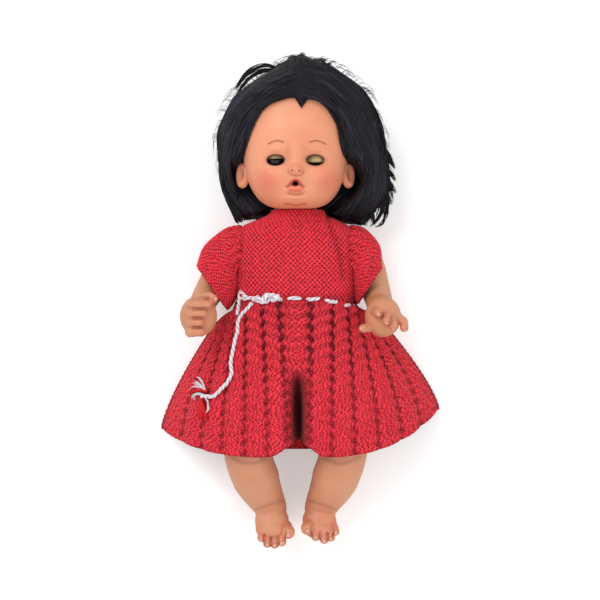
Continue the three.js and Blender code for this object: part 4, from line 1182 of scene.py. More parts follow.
@dataclass
class Sleeve:
    """A puffed knitted sleeve: rings strung between two edges, with a rolled cuff and an inside."""

    side: Side
    inner: Marks
    outer: Marks
    half_heights: Row = (19.0, 20.6, 23.2, 23.2, 20.0)
    start: float = 5.5
    power: float = 2.2
    stitch: float = 3.7
    stitch_height: float = 0.75
    thick: float = 2.6
    gathers: int = 17
    cuff_gathers: int = 9
    rows: int = 96
    columns: int = 290

    def ring(self, share: Array, grow: Array) -> Array:
        """Points round the sleeve at shares of its length: a superellipse between its two edges."""
        steps = shares(101)
        ends = []
        for edge in (self.inner, self.outer):
            line = curve_through(edge, 101)
            ends.append(np.stack([np.interp(share, steps, line[:, i]) for i in (0, 1)], axis=-1))
        high = np.interp(share, steps, curve_through(along(self.half_heights, 5), 101)[:, 0])
        middle = (ends[0] + ends[1]) / 2
        arm = (ends[1] - ends[0]) / 2
        reach = np.linalg.norm(arm, axis=-1, keepdims=True)
        arm = arm / reach * (reach + grow[:, None])
        turn = full_turn(self.columns)
        c = power_of(np.cos(turn), 2 / self.power)[None, :, None]
        s = power_of(np.sin(turn), 2 / self.power)[None]
        flat = middle[:, None] + arm[:, None] * c
        x = self.side.value * (SHOULDER[0] + self.start + flat[..., 0])
        z = SHOULDER[2] + (high + grow)[:, None] * s
        return np.stack([x, SHOULDER[1] - flat[..., 1], z], axis=-1)

    def surface(self) -> Surface:
        """The sleeve's outside with stitches and gathers, its rolled cuff, and its inside, with painted shade
        in the stitch holes and the gathers' folds, on the cuff and over the inside.
        """
        share = shares(self.rows)
        base = self.ring(share, np.zeros(self.rows))
        normal = normals_of(base, base - base.mean(axis=1, keepdims=True))
        around = run_lengths(np.concatenate([base, base[:, :1]], axis=1), 1)
        count = np.round(around[self.rows // 2, -1] / self.stitch)
        u = around[:, :-1] / around[:, -1:]
        v = walked(base.mean(axis=1)) * 1.25 / self.stitch
        stitch = moss(u * count, v[:, None] + 0 * u)
        fold = np.cos(TURN * self.gathers * u) * (ease(-share, -0.5, -0.08) * 0.9)[:, None]
        fold = fold + 0.5 * np.cos(TURN * self.cuff_gathers * u + 1) * ease(share, 0.75, 1.0)[:, None]
        top = base + normal * (stitch * self.stitch_height + fold)[..., None]
        cuff = rolled(top[-1], unit(base[-1] - base[-3]), normal[-1], self.thick / 2)
        back = self.ring(np.linspace(0.97, 0.05, 16), np.full(16, -self.thick))
        # painted shade: dark in the stitch holes and the gathers' folds, darker on the cuff, darkest inside
        lit_share = np.concatenate([
            0.04 + 0.8 * stitch + 0.12 * fold,
            np.repeat(stitch[-1:] * 0.5, 8, 0),
            np.full((16, self.columns), 0.12),
        ])
        return grid(np.concatenate([top, cuff, back]), True).raised(lit_share).outward()

    def build(self) -> None:
        """Makes the sleeve and rides it on the arm."""
        word = self.side.word
        piece = place(
            f"sleeve_knit_{word}", self.surface(), RED_WOOL, f"arm_{word}", "red_knit", (f"sleeve_{word}",))


@dataclass
class Ties:
    """The white cord threaded round the waist, the knot on it, its two loose ends and the tassel."""

    skirt: Skirt
    long_route: tuple[Point, ...] = (
        (-36.8, 39.4, 64), (-41, 34.5, 62), (-45.4, 30, 59.6), (-48.2, 23.8, 59.2), (-48.6, 15, 61),
        (-49.8, 12.2, 61.8), (-52.3, 0, 64.8), (-54, -10.2, 67.2), (-53.2, -18.7, 69.2), (-57.4, -27, 70.2),
        (-60, -29.5, 69.6), (-65.2, -35.2, 67.6), (-69.3, -38.2, 66), (-74, -38, 62.4), (-78.4, -38.4, 58),
    )
    short_route: tuple[Point, ...] = (
        (-36.6, 44.2, 62.6), (-40, 44.2, 60.2), (-43.2, 46.6, 56.4), (-45.8, 49.4, 51.2),
        (-47.2, 46.8, 49.6), (-47.5, 42, 51), (-48, 36.5, 54.4), (-49, 31, 57.6),
    )
    knot_route: tuple[Point, ...] = ((-14, 44.4, 72.2), (-24.5, 43.9, 69.8), (-34.5, 41.8, 65.4))
    ply: float = 5.0
    dash: float = 15.2
    dash_share: float = 0.62
    dip: float = 6.0
    wander: float = 0.35
    fringe_steps: int = 14
    fringe_z: float = 60.0
    rng: np.random.Generator = field(default_factory=lambda: np.random.default_rng(11))

    def plied(self, line: Array, radius: float, sides: int = 18) -> Surface:
        """A two-ply cord: a tube that swells at two plies, which wind half a turn in each ply length, with
        painted shade in the grooves between the plies.
        """
        run = np.linspace(0, walked(line)[-1], len(line))
        swell = np.abs(np.cos(full_turn(sides) - PI * run[:, None] / self.ply)) ** 0.8
        size = radius * (0.74 + 0.3 * swell)
        surface = tube(line, np.stack([size, size], axis=1), sides)
        # painted shade in the grooves between the plies and painted light on their crests
        lit_share = np.concatenate([np.repeat(swell[:1], 3, 0), swell, np.repeat(swell[-1:], 3, 0)])
        return surface.raised(lit_share, 0.5)

    def waist_line(self) -> Array:
        """The threaded cord's line: round the waist, out over the knit for each dash and under it between."""
        turn = np.linspace(0, TURN, 1400)
        rim = trunk_rim(WAIST_Y, turn, 2.0)
        run = walked(rim)
        count = np.round(run[-1] / self.dash)
        phase = (run / run[-1] * count + 0.42) % 1
        out = ease(phase, 0.0, 0.16) * ease(self.dash_share + 0.12 - phase, 0, 0.16)
        line = trunk_rim(WAIST_Y, turn, 1.2 + 3.6 * out)
        line[:, 1] += 0.5 * np.cos(turn * count)
        line[:, 1] -= self.dip * ease(line[:, 0], 8, 48) ** 2 * (line[:, 2] > TRUNK_Z)
        return line

    def knot(self) -> Surface:
        """The knot: three strands wound in both hands round a line that runs along the waist."""
        line = curve_through(self.knot_route, 160)
        _, side, upper = frame_along(line)
        share = shares(160)[:, None]
        swell = 1.5 + 1.3 * np.sin(PI * share)
        parts = []
        for hand, turns, start in ((1, 2.1, 0.4), (-1, 1.6, 2.2), (1, 1.2, 4.1)):
            angle = start + hand * turns * TURN * share
            around = line + side * swell * 1.1 * np.cos(angle) + upper * swell * 0.75 * np.sin(angle)
            parts.append(self.plied(even_steps(around, 200), 1.55))
        return joined(parts)

    def fringe(self, marks: tuple, count: int, spread: float, lift: float) -> Array:
        """Strands that lie on the skirt along a drawn line and fan out towards their free ends.

        Args:
            marks: Places along the line, measured on the picture's plane.
            count: Number of strands.
            spread: Half width of the fan at its free end.
            lift: Height of the strands above the knit.

        Returns:
            Strands by samples by three.
        """
        line = curve_through(marks, self.fringe_steps)
        ahead = unit(np.gradient(line, axis=0))
        side = np.stack([ahead[:, 1], -ahead[:, 0]], axis=1)
        share = shares(self.fringe_steps)
        place_in = self.rng.uniform(-1, 1, (count, 1))
        wave = self.wander * np.cumsum(self.rng.normal(0, 0.5, (count, self.fringe_steps)), axis=1) * share
        flat = line[None] + side[None] * (place_in * (0.7 + (spread - 0.7) * share) + wave)[..., None]
        flat = flat + ahead[None] * (share * self.rng.uniform(-2.2, 1.2, (count, 1)))[..., None]
        x, y = seen_at(flat[..., 0], flat[..., 1], self.fringe_z)
        heap = self.rng.uniform(0, 2.2, (count, 1)) * np.sqrt(1 - place_in**2) + 0.8 * np.sin(3 * share)
        return np.stack([x, y, self.skirt.height_at(x, y) + lift + heap], axis=-1)

    def tassel(self) -> tuple[Surface, Surface]:
        """The tassel's red strands and its white ones."""
        red = (
            (((-79.5, -40.5), (-80.2, -45), (-79.4, -51), (-78.0, -57.8)), 40, 4.0, 4.6),
            (((-75.2, -35.4), (-80.3, -34.6), (-86.3, -35.1), (-90.5, -36.8)), 16, 1.5, 4.6),
        )
        white = (
            (((-76.5, -34.2), (-79.5, -28), (-82.9, -25), (-85.4, -24.7)), 2, 0.5, 5.4),
            (((-77.8, -34.2), (-80, -31), (-82.4, -28.6), (-85.8, -26.4)), 2, 0.5, 5.2),
            (((-78.6, -34.2), (-82.9, -30.6), (-87.1, -30.2), (-88.8, -31.9)), 2, 0.5, 5.2),
            (((-80.3, -34.2), (-85.4, -31.9), (-89.7, -33.2), (-90.5, -34.6)), 2, 0.5, 5.2),
            (((-78.6, -38.3), (-83.7, -37.6), (-87.1, -39.5), (-87.6, -42.3)), 9, 1.2, 5.6),
            (((-76.9, -40.4), (-74.4, -44.2), (-74, -49.3), (-75.2, -52.7)), 4, 0.7, 4.8),
        )
        drawn = [np.concatenate([self.fringe(*bunch) for bunch in bunches]) for bunches in (red, white)]
        made = []
        for lines, radius in zip(drawn, (0.7, 0.55)):
            taper = radius * along((1, 1, 0.9, 0.45), lines.shape[1])[:, 0]
            surface = bundle(lines, np.broadcast_to(taper, lines.shape[:2]), 4)
            shade = 0.35 + 0.65 * self.rng.random(len(lines))
            made.append(surface.raised(np.repeat(shade, lines.shape[1] * 4)))
        return made[0], made[1]

    def build(self) -> None:
        cord = (WHITE_YARN, "torso", "white_cord")
        waist = self.plied(self.waist_line(), CORD_D / 2)
        place("waist_cord_threaded", waist, *cord, ("waist_cord",))
        place("tie_knot_wound", self.knot(), *cord, ("tie_knot",))
        red, white = self.tassel()
        leg = "leg_right"
        tassel = place("tassel_red", red, RED_YARN, "torso", "tassel_yarn", ("tassel",), leg)
        strands = place("tassel_white", white, *cord, ("tassel",), leg)
        self.loose("tie_long_plied", "tie_cord_long", self.long_route, leg)
        self.loose("tie_short_plied", "tie_cord_short", self.short_route)

    def loose(self, name: str, node: str, route: tuple, leg: str = "") -> None:
        """Args:
            name: The piece's name.
            node: The node that it replaces.
            route: Its centre line.
            leg: A leg's name, if any, handed on to place.
        """
        line = curve_through(route, 260)
        piece = place(name, self.plied(line, CORD_D / 2), WHITE_YARN, "torso", "white_cord", (node,), leg)


def melted(name: str, parts: list[Surface], voxel: float, rounds: int) -> Mesh:
    """One skin over several overlapping surfaces: remeshed in small cubes and smoothed.

    Args:
        name: The mesh's name.
        parts: The closed surfaces.
        voxel: Size of the cubes.
        rounds: Smoothing rounds.

    Returns:
        The plain mesh, with no modifier left on it.
    """
    rough = make_mesh(name, joined(parts))
    worker = bpy.data.objects.new(name, rough)
    bpy.context.scene.collection.objects.link(worker)
    remesh = worker.modifiers.new("skin", "REMESH")
    remesh.mode = "VOXEL"
    remesh.voxel_size = voxel * METRES
    smooth = worker.modifiers.new("smooth", "SMOOTH")
    smooth.factor = 0.5
    smooth.iterations = rounds
    bpy.context.view_layer.update()
    seen = worker.evaluated_get(bpy.context.evaluated_depsgraph_get())
    mesh = bpy.data.meshes.new_from_object(seen)
    bpy.data.objects.remove(worker)
    bpy.data.meshes.remove(rough)
    mesh.shade_smooth()
    return mesh


def welded(first: Mesh, second: Mesh) -> Mesh:
    """Two meshes in one."""
    both = bmesh.new()
    both.from_mesh(first)
    both.from_mesh(second)
    both.to_mesh(first)
    both.free()
    bpy.data.meshes.remove(second)
    first.shade_smooth()
    return first


def points_of(mesh: Mesh) -> tuple[Array, Array]:
    """A mesh's points in millimetres and its unit normals there."""
    points = np.empty(len(mesh.vertices) * 3, np.float32)
    normals = np.empty(len(mesh.vertices) * 3, np.float32)
    mesh.vertices.foreach_get("co", points)
    mesh.vertex_normals.foreach_get("vector", normals)
    return points.reshape(-1, 3).astype(float) / METRES, normals.reshape(-1, 3).astype(float)


def picture_of(points: Array) -> tuple[Array, Array]:
    """Where points show on the picture's plane, seen by the camera."""
    share = (CAMERA_HEIGHT - PICTURE_PLANE) / (CAMERA_HEIGHT - points[..., 2])
    return tuple(eye + (points[..., i] - eye) * share for i, eye in enumerate((CAMERA_X, CAMERA_Y)))


def spots(points: Array, centres: Array, radius: float) -> tuple[Array, Array]:
    """Bells round some centres, one at each centre, and the distance to the nearest centre."""
    away = np.linalg.norm(points[:, None] - np.asarray(centres)[None], axis=2).min(axis=1)
    return bell(away, radius), away


@dataclass
class SkinPaint:
    """Hand colouring of the vinyl: a base tone, pink ends and pale nails, with painted shade in its creases.
    """

    base: Colour
    pink: Colour = (226, 134, 112)
    # colour of the painted shade in the creases and round the nails
    dark: Colour = (134, 74, 52)
    nail: Colour = (238, 172, 146)
    glow: float = 9.0
    nail_r: float = 2.1
    rim_r: float = 2.3
    rim_width: float = 0.45
    rim_depth: float = 0.28
    crease_depth: float = 1.1

    def coat(self, mesh: Mesh, tips: Array, nails: Array, creases: tuple, gaps: tuple) -> None:
        """Presses creases and nails into a limb and paints it, with painted shade in the creases and round
        the nails.

        Args:
            mesh: The limb.
            tips: Centres of the pink ends.
            nails: Centres of the nails.
            creases: Broad lines on the picture's plane that are pressed in a little.
            gaps: Fine lines that are pressed in fully, between the fingers or the toes.
        """
        points, normals = points_of(mesh)
        x, y = picture_of(points)
        front = ease(normals[:, 2], 0.05, 0.5)
        pressed = np.zeros(len(points))
        for lines, weight, width in ((creases, 0.55, 1.8), (gaps, 1.0, 0.9)):
            for line in lines:
                pressed = np.maximum(pressed, weight * line_near(x, y, line, width) * front)
        pink, _ = spots(points, tips, self.glow)
        bed, away = spots(points, nails, self.nail_r)
        rim = bell(away - self.rim_r, self.rim_width)
        moved = points - normals * (pressed * self.crease_depth + rim * self.rim_depth)[:, None]
        mesh.vertices.foreach_set("co", (moved * METRES).astype(np.float32).ravel())
        tint = washed(tone(self.base), self.pink, 0.5 * pink)
        tint = washed(tint, self.nail, 0.8 * ease(bed, 0.25, 0.6))
        # painted shade in the pressed creases and the grooves round the nails
        tint = washed(tint, self.dark, np.clip(0.55 * pressed + 0.45 * rim, 0, 0.8))
        paint_mesh(mesh, {"tint": tint})
        mesh.update()


@dataclass
class Arm:
    """A bent vinyl arm with its hand: an arm, a palm, four fingers and a thumb melted into one skin."""

    side: Side
    reach: float
    palm: Point
    palm_half: Point
    fingers: tuple[tuple[Point, ...], ...]
    thumb: tuple[Point, ...]
    finger_hint: Point
    nails: tuple[Point, ...]
    creases: tuple
    radii: Row = (15, 14.5, 14, 13.2, 12.2, 10.5)
    clear: float = 20.0
    wrist: Pair = (-54.0, 24.0)
    finger_r: float = 4.3
    skin: Colour = (208, 146, 108)

    def at(self, place_in: Point) -> Point:
        """A place measured from the shoulder, outward, up and forward, in the doll's frame."""
        x, y, z = SHOULDER
        return (self.side.value * (x + place_in[0]), y + place_in[1], z + place_in[2])

    def from_wrist(self, place_in: Point) -> Point:
        """A place measured from the wrist, outward, up and forward."""
        return self.at((self.reach + place_in[0], self.wrist[0] + place_in[1], self.wrist[1] + place_in[2]))

    def parts(self) -> list[Surface]:
        """The arm, palm and fingers as overlapping closed surfaces."""
        out = [lerp(self.clear, self.reach, share) for share in (0, 0.55, 0.85, 1)]
        route = ((2.2, 0, 0), (12.4, -4.3, -1), (out[0], -18.4, -3),
                 (out[1], -35.6, -1), (out[2], -45.9, 8.4), (out[3], *self.wrist))
        line = curve_through([self.at(p) for p in route], 70)
        radius = curve_through(along(self.radii, 6), 70)[:, 0]
        parts = [tube(line, radius, 48, (0, 0, 1), False), oval(self.from_wrist(self.palm), self.palm_half)]
        for finger in (*self.fingers, self.thumb):
            bones = curve_through([self.from_wrist(p) for p in finger], 26)
            knuckle = 1 + 0.07 * np.cos(np.linspace(0, 4 * PI, 26))
            thick = self.finger_r * np.linspace(1, 0.8, 26) * knuckle
            parts.append(tube(bones, thick, 22, self.finger_hint))
        return parts

    def build(self) -> None:
        """Makes, colours and places the arm."""
        mesh = melted("arm", self.parts(), 0.62, 5)
        tips = np.array([self.from_wrist(finger[-1]) for finger in (*self.fingers, self.thumb)])
        nails = np.array([self.from_wrist(p) for p in self.nails])
        bones = [np.array([self.from_wrist(p) for p in finger[-3:]]) for finger in self.fingers]
        gaps = tuple(np.stack(picture_of((a + b) / 2), axis=-1) for a, b in zip(bones, bones[1:]))
        SkinPaint(self.skin).coat(mesh, tips, nails, self.creases, gaps)
        arm = f"arm_{self.side.word}"
        place(f"arm_skin_{self.side.word}", mesh, SKIN, arm, "skin_vinyl", (arm,))


@dataclass
class Leg:
    """A bowed vinyl leg with its foot and toes melted into one skin."""

    side: Side
    stub: tuple[Point, ...] = ((31, -2, 34.4), (36, -2, 34.4), (42, -2, 34.4))
    stub_r: float = 19.0
    route: tuple[Point, ...] = (
        (40, -2, 34.4), (42.5, -38, 43.7), (41, -82, 49.4), (33.4, -110, 38.2), (21, -136, 22.5))
    radii: Row = (19.5, 20.5, 20, 20, 13.5)
    heel: Point = (21, -140, 12.5)
    ball: Point = (20, -153.5, 33.5)
    sole: Marks = ((12, 12), (14.3, 11.5), (14.3, 8.4))
    instep: Point = (20.3, -146, 27)
    instep_half: Point = (14.6, 12, 12.5)
    toe_tips: dict[Side, tuple] = field(default_factory=lambda: {
        Side.RIGHT: ((6.2, -155), (11.8, -163), (17.8, -165), (24, -164.6), (29.2, -160)),
        Side.LEFT: ((10.3, -151.5), (17.2, -158.4), (24.4, -161), (30, -159.2), (34, -154.6)),
    })
    toe_radius: Row = (5.5, 3.9, 3.8, 3.6, 3.2)
    toe_length: Row = (4.5, 9.5, 9.5, 9.5, 8)
    toe_middle: float = 20.5
    tip_z: float = 36.0
    root_z: float = 30.5
    skin: Colour = (216, 150, 114)

    def mirrored(self, point: Point) -> Array:
        """A point of the left leg, on this leg's side."""
        return np.array([self.side.value * point[0], point[1], point[2]], float)

    def toes(self) -> list[tuple[Array, Array, float]]:
        """Root, tip and radius of each toe, the big one first."""
        made = []
        for (x, y), radius, length in zip(self.toe_tips[self.side], self.toe_radius, self.toe_length):
            tip = self.mirrored((x, y, self.tip_z + radius * 0.8))
            root = self.mirrored((lerp(x, self.toe_middle, 0.12), y + length, self.root_z + radius * 0.3))
            made.append((root, tip, radius))
        return made

    def parts(self) -> list[Surface]:
        """The leg and the foot as overlapping closed surfaces."""
        stub = np.array([self.mirrored(p) for p in self.stub])
        thigh = np.array([self.mirrored(p) for p in self.route])
        run = walked(thigh)
        radius = np.interp(np.linspace(0, run[-1], 80), run, self.radii)
        heel = self.mirrored(self.heel)
        ball = self.mirrored(self.ball)
        foot = np.array([heel, (heel + ball) / 2 + FRONT, ball])
        return [
            tube(curve_through(thigh, 80), radius, 56),
            tube(curve_through(stub, 14), np.full(14, self.stub_r), 48, (0, 0, 1), False),
            tube(curve_through(foot, 30), along(self.sole, 30), 44),
            oval(self.mirrored(self.instep), self.instep_half, 40, 56),
        ]

    def toe_parts(self) -> list[Surface]:
        """The toes as short round-ended tubes, thicker at their pads."""
        parts = []
        for root, tip, size in self.toes():
            thick = size + along((-0.6, -0.6, -0.3, 0.25, 0.25), 14)[:, 0]
            parts.append(tube(np.linspace(root, tip, 14), thick, 26, (1, 0, 0)))
        return parts

    def build(self) -> None:
        """Makes, colours and places the leg."""
        mesh = welded(melted("leg", self.parts(), 0.95, 11), melted("toes", self.toe_parts(), 0.45, 2))
        toes = self.toes()
        tips = np.array([tip for _, tip, _ in toes])
        nails = np.array([tip + np.array([0, -0.35, 0.95]) * size for _, tip, size in toes])
        between = [(a[1] + b[1]) / 2 for a, b in zip(toes, toes[1:])]
        gaps = tuple(p[:2] + np.array([(0, 5), (0, 2), (0, -3)]) for p in between)
        s = self.side.value
        creases = (
            [(s * 54, -90.5), (s * 46, -95.5), (s * 36, -96.5), (s * 25, -92)],
            [(s * 9.5, -127.4), (s * 20, -131.5), (s * 34.5, -136.2)],
        )
        SkinPaint(self.skin).coat(mesh, tips, nails, creases, gaps)
        leg = f"leg_{self.side.word}"
        place(f"leg_skin_{self.side.word}", mesh, SKIN, leg, "skin_vinyl", (leg,))


@dataclass
class Head:
    """The vinyl head: a rounded skull with a modelled and painted face, ears, eye rims and a neck."""

    centre: Point = (0, 176.5, 52)
    half_width: float = 45.0
    half_length: float = 57.5
    face_depth: float = 45.0
    skull_depth: float = 44.0
    eye: Pair = (16.2, -19.5)
    eye_z: float = 78.973
    opening: Pair = (7.2, 4.4)
    case_r: float = 10.4
    nose: float = -28.0
    mouth: float = -38.0
    chin: float = -53.0
    ear: float = -29.0
    ear_half: Point = (6.5, 11, 4.5)
    ear_lean: float = math.radians(28)
    neck_ends: Pair = (112.5, 135)
    lip_half: float = 7.9
    rows: int = 268
    columns: int = 300

    def hills(self) -> list[tuple[Pair, Pair, float]]:
        """Bumps and hollows of the face: place, half sizes and rise."""
        x, y = self.eye
        nose, mouth, chin = self.nose, self.mouth, self.chin
        broad = [
            ((0, nose), (6.2, 5.5), 8.5), ((0, nose + 10), (4.5, 8), 1.8), ((0, mouth - 0.5), (13, 9), 4.2),
            ((0, mouth + 4.2), (6.5, 2.6), 1.8), ((0, mouth - 5), (6.5, 2.6), 2.2),
            ((0, mouth - 9.5), (9, 2.2), -1.2), ((0, chin + 3), (12, 6.5), 5)]
        fine = [
            ((0, mouth + 4.6), (1.2, 2.0), -0.9), ((0, mouth - 9.4), (6.0, 1.2), -1.7),
            ((0, nose + 4.5), (3.0, 4.0), -0.6), ((0, chin + 9.5), (4.5, 2.0), -0.8)]
        for s in (1, -1):
            broad += [((s * x, y), (10, 8), -3.2), ((s * 24, mouth + 6), (14, 13), 4)]
            fine += [
                ((s * 3.1 + 0.5, nose - 1.0), (1.0, 0.9), -1.9), ((s * 3.2, mouth - 5.2), (3.3, 2.1), 2.6),
                ((s * 2.6, mouth + 2.0), (2.8, 1.4), 1.3), ((s * 7.9, mouth - 3.6), (1.7, 1.7), -1.5),
                ((s * 12, mouth + 2), (2.2, 6.5), -0.7), ((s * x, y - 8.2), (8, 1.3), -0.7),
                ((s * x, y + 8.8), (9, 2.0), 0.8)]
        return broad + fine

    def rise(self, x: Array, y: Array) -> Array:
        """Height of the face over the plain skull: the sum of its hills, less the mouth's slit and hole."""
        total = sum(height * hill(x, y, at, half) for at, half, height in self.hills())
        slit = np.array([(-7.0, -3.4), (-3.6, -1.4), (0, -0.3), (3.6, -1.4), (7.0, -3.4)]) + (0, self.mouth)
        hole = bell(np.hypot(x, (y - self.mouth + 0.6) / 0.95), 2.15, 4)
        nose = 1.3 * np.clip(1 - self.nose_share(x, y) ** 2, 0, 1) ** 0.6 - 0.8 * self.under_nose(x, y, 0.13)
        return total + nose - 1.4 * line_near(x, y, slit, 0.75) - 7.5 * hole

    def nose_share(self, x: Array, y: Array) -> Array:
        """Distance from the middle of the nose's ball as a share of its half size."""
        return np.hypot((x - 0.5) / 6.1, (y - self.nose) / 4.9)

    def under_nose(self, x: Array, y: Array, width: float) -> Array:
        """The fold round the lower side of the nose's ball, as a bell of that width."""
        return bell(self.nose_share(x, y) - 1.08, width) * ease(self.nose - y, -3, 2)

    def half_at(self, climb: Array) -> Array:
        """Half width of the head at a climb: a power of the cosine, fuller below, where the cheeks are."""
        return self.half_width * np.cos(climb) ** np.where(climb < 0, 0.56, 0.75)

    def skin_point(self, turn: Array, climb: Array) -> Array:
        """A point of the head in its own frame: a rounded box of turn and climb, with the face raised.

        Args:
            turn: Angle from straight ahead.
            climb: Angle above the middle.

        Returns:
            The points.
        """
        level = np.cos(climb)
        ahead = np.cos(turn)
        depth = np.where(ahead > 0, self.face_depth * level**0.6, self.skull_depth * level**0.85)
        x = self.half_at(climb) * power_of(np.sin(turn), 2 / 2.2)
        y = self.half_length * np.sin(climb) + 0 * turn
        z = depth * power_of(ahead, 2 / 2.2) + self.rise(x, y) * ease(ahead, 0.1, 0.5)
        return np.stack([x, y, z], axis=-1)

    def front(self, x: Array, y: Array) -> Array:
        """Height of the face at a place of its front, by turning the place back into angles."""
        climb = np.arcsin(np.clip(y / self.half_length, -1, 1))
        turn = np.arcsin(np.clip(np.abs(x) / self.half_at(climb), 0, 1) ** 1.1)
        return self.skin_point(np.sign(x) * turn, climb)[..., 2]

    def eye_centre(self, side: Side) -> Array:
        """Middle of an eyeball, in the head's frame."""
        return np.array([side.value * self.eye[0], self.eye[1], self.eye_z - self.centre[2]])

    def share_in_eye(self, x: Array, y: Array) -> Array:
        """Distance from the nearer eye's middle as a share of the opening's oval."""
        return np.hypot((np.abs(x) - self.eye[0]) / self.opening[0], (y - self.eye[1]) / self.opening[1])

    def blush_light_and_shade(self, x: Array, y: Array) -> list[tuple]:
        """Cheek blush, a painted light on the chin, painted shade beside the bridge of the nose and a blush
        on its tip, each with its weight.
        """
        return [
            ((232, 112, 92), 0.62 * twin_hill(x, y, (-23, 27), self.mouth + 2, (10, 11))),
            # painted light on the chin's boss
            ((250, 178, 138), 0.7 * hill(x, y, (0, self.chin + 3), (20, 8))),
            # painted shade beside the bridge of the nose
            ((202, 122, 90), 0.4 * twin_hill(x, y, (-5.5, 7.5), self.eye[1] + 6, (3, 7))),
            ((232, 128, 100), 0.2 * hill(x, y, (0, self.nose - 1.5), (5.5, 4))),
        ]

    def mouth_paint(self, x: Array, y: Array) -> list[tuple]:
        """Coral lips, the lower one painted lighter and the upper darker as painted light and shade, with
        painted shade in the slit between them and in the hole, each with its weight.
        """
        size = np.abs(x) / self.lip_half
        top = self.mouth + 4.4 - 7.2 * size**1.4 - 0.8 * bell(x, 1.5)
        low = self.mouth - 8.2 + 4.2 * size**3
        lips = ease(top - y, 0, 1.0) * ease(y - low, 0, 0.9) * ease(1 - size, 0, 0.12)
        # the lower lip painted lighter and the upper darker: painted light and shade
        coral = lerp(tone((246, 136, 112)), tone((206, 98, 78)), ease(y - self.mouth, -3, -1)[:, None])
        slit = np.array([(-6.8, -3.4), (0, -0.6), (6.8, -3.4)]) + (0, self.mouth)
        return [
            (coral, 0.9 * lips),
            # painted shade in the slit between the lips
            ((120, 48, 42), 0.7 * line_near(x, y, slit, 0.6)),
            # painted shade in the mouth's hole
            ((24, 10, 9), 0.96 * bell(np.hypot(x, y - self.mouth + 0.6), 2.1, 6)),
        ]

    def shade_lines_and_brows(self, x: Array, y: Array) -> list[tuple]:
        """Painted shade in the nostrils and in the folds under nose, mouth and chin, and the thin painted
        brows, each with its weight.
        """
        # colour of the painted shade in the folds
        fold = (168, 84, 58)
        layers = [
            # painted shade in the nostrils
            ((104, 44, 34), 0.9 * twin_hill(x, y, (3.6, -2.6), self.nose - 1, (1.0, 0.85))),
            # painted shade under the nose's ball
            (fold, 0.5 * self.under_nose(x, y, 0.15)),
        ]
        for half, up, sag in ((9, self.chin - 1.2, 1.4), (6, self.mouth - 9, 0.6)):
            line = ((-half, up), (0, up - sag), (half, up))
            # painted shade in the folds under the chin and the lower lip
            layers.append((fold, 0.6 * line_near(x, y, line, 0.8)))
        for brow in (((-22, -6.3), (-18.5, -4.6), (-14, -3.9), (-9.6, -5.3)),
                     ((11.6, -5.3), (16.4, -3.9), (20.8, -4.6), (24.6, -6.4))):
            layers.append(((58, 32, 26), 0.85 * line_near(x, y, curve_through(brow, 18), 0.55)))
        return layers

    def eye_paint(self, x: Array, y: Array) -> list[tuple]:
        """The dark rim of each eye opening, a painted lash line that runs on as painted shade down the
        opening's inner wall, and the painted shade round it, each with its weight.
        """
        ring = self.share_in_eye(x, y)
        upper = ease(y - self.eye[1], -1.5, 1.5)
        return [
            # the rim: a painted lash line on the face and painted shade on the inner wall of the opening
            ((44, 24, 18), bell(ring - 1.0, 0.16) * lerp(0.8, 0.98, upper)),
            ((196, 112, 84), 0.32 * bell(ring - 1.25, 0.3)),
        ]

    def colours(self, points: Array) -> Array:
        """The painted face: warm skin with the doll's own paint, painted light and painted shade, each layer
        laid on its front.
        """
        x, y, z = points.T
        front = ease(z, 8, 24)
        tint = lerp(tone((236, 162, 124)), tone((238, 160, 121)), ease(z, 0, 40)[:, None])
        for painted in (self.blush_light_and_shade, self.mouth_paint, self.shade_lines_and_brows, self.eye_paint):
            for colour, weight in painted(x, y):
                tint = washed(tint, colour, weight * front)
        return tint

    def shell(self) -> Surface:
        """Skull and face on a grid that crowds together on the face, open under the eye rims."""
        t = full_turn(self.columns)
        s = shares(self.rows + 2)[1:-1]
        climb = PI * (s**1.18 - 0.5)
        surface = closed(self.skin_point((t - 0.6 * np.sin(t))[None], climb[:, None]))
        middle = surface.points[surface.quads].mean(axis=1)
        keep = (self.share_in_eye(middle[:, 0], middle[:, 1]) > 1.14) | (middle[:, 2] < 0)
        surface.quads = surface.quads[keep]
        return surface

    def eye_rim(self, side: Side) -> Surface:
        """The rolled edge of an eye opening: out on the face, over the edge and in to the eye's case."""
        profile = np.array([
            (1.5, -0.6, 0), (1.4, -0.06, 0), (1.28, 0.06, 0), (1.14, 0.1, 0), (1.06, 0.08, 0),
            (1.015, -0.08, 0), (1.0, -0.4, 0), (1.0, 0, 0.35), (1.0, 0, 0.7), (1.0, 0, 1.0)])
        ring, lift, share = (column[:, None] for column in profile.T)
        turn = full_turn(96)[None]
        centre = self.eye_centre(side)
        dx = self.opening[0] * ring * np.cos(turn)
        dy = self.opening[1] * ring * np.sin(turn)
        face = self.front(centre[0] + dx, centre[1] + dy)
        deep = centre[2] + np.sqrt(np.maximum(self.case_r**2 - dx**2 - dy**2, 0)) + 0.1
        z = lerp(face + lift, np.minimum(deep, face - 0.5), share)
        return facing(grid(np.stack([centre[0] + dx, centre[1] + dy, z], axis=-1), True), 1)

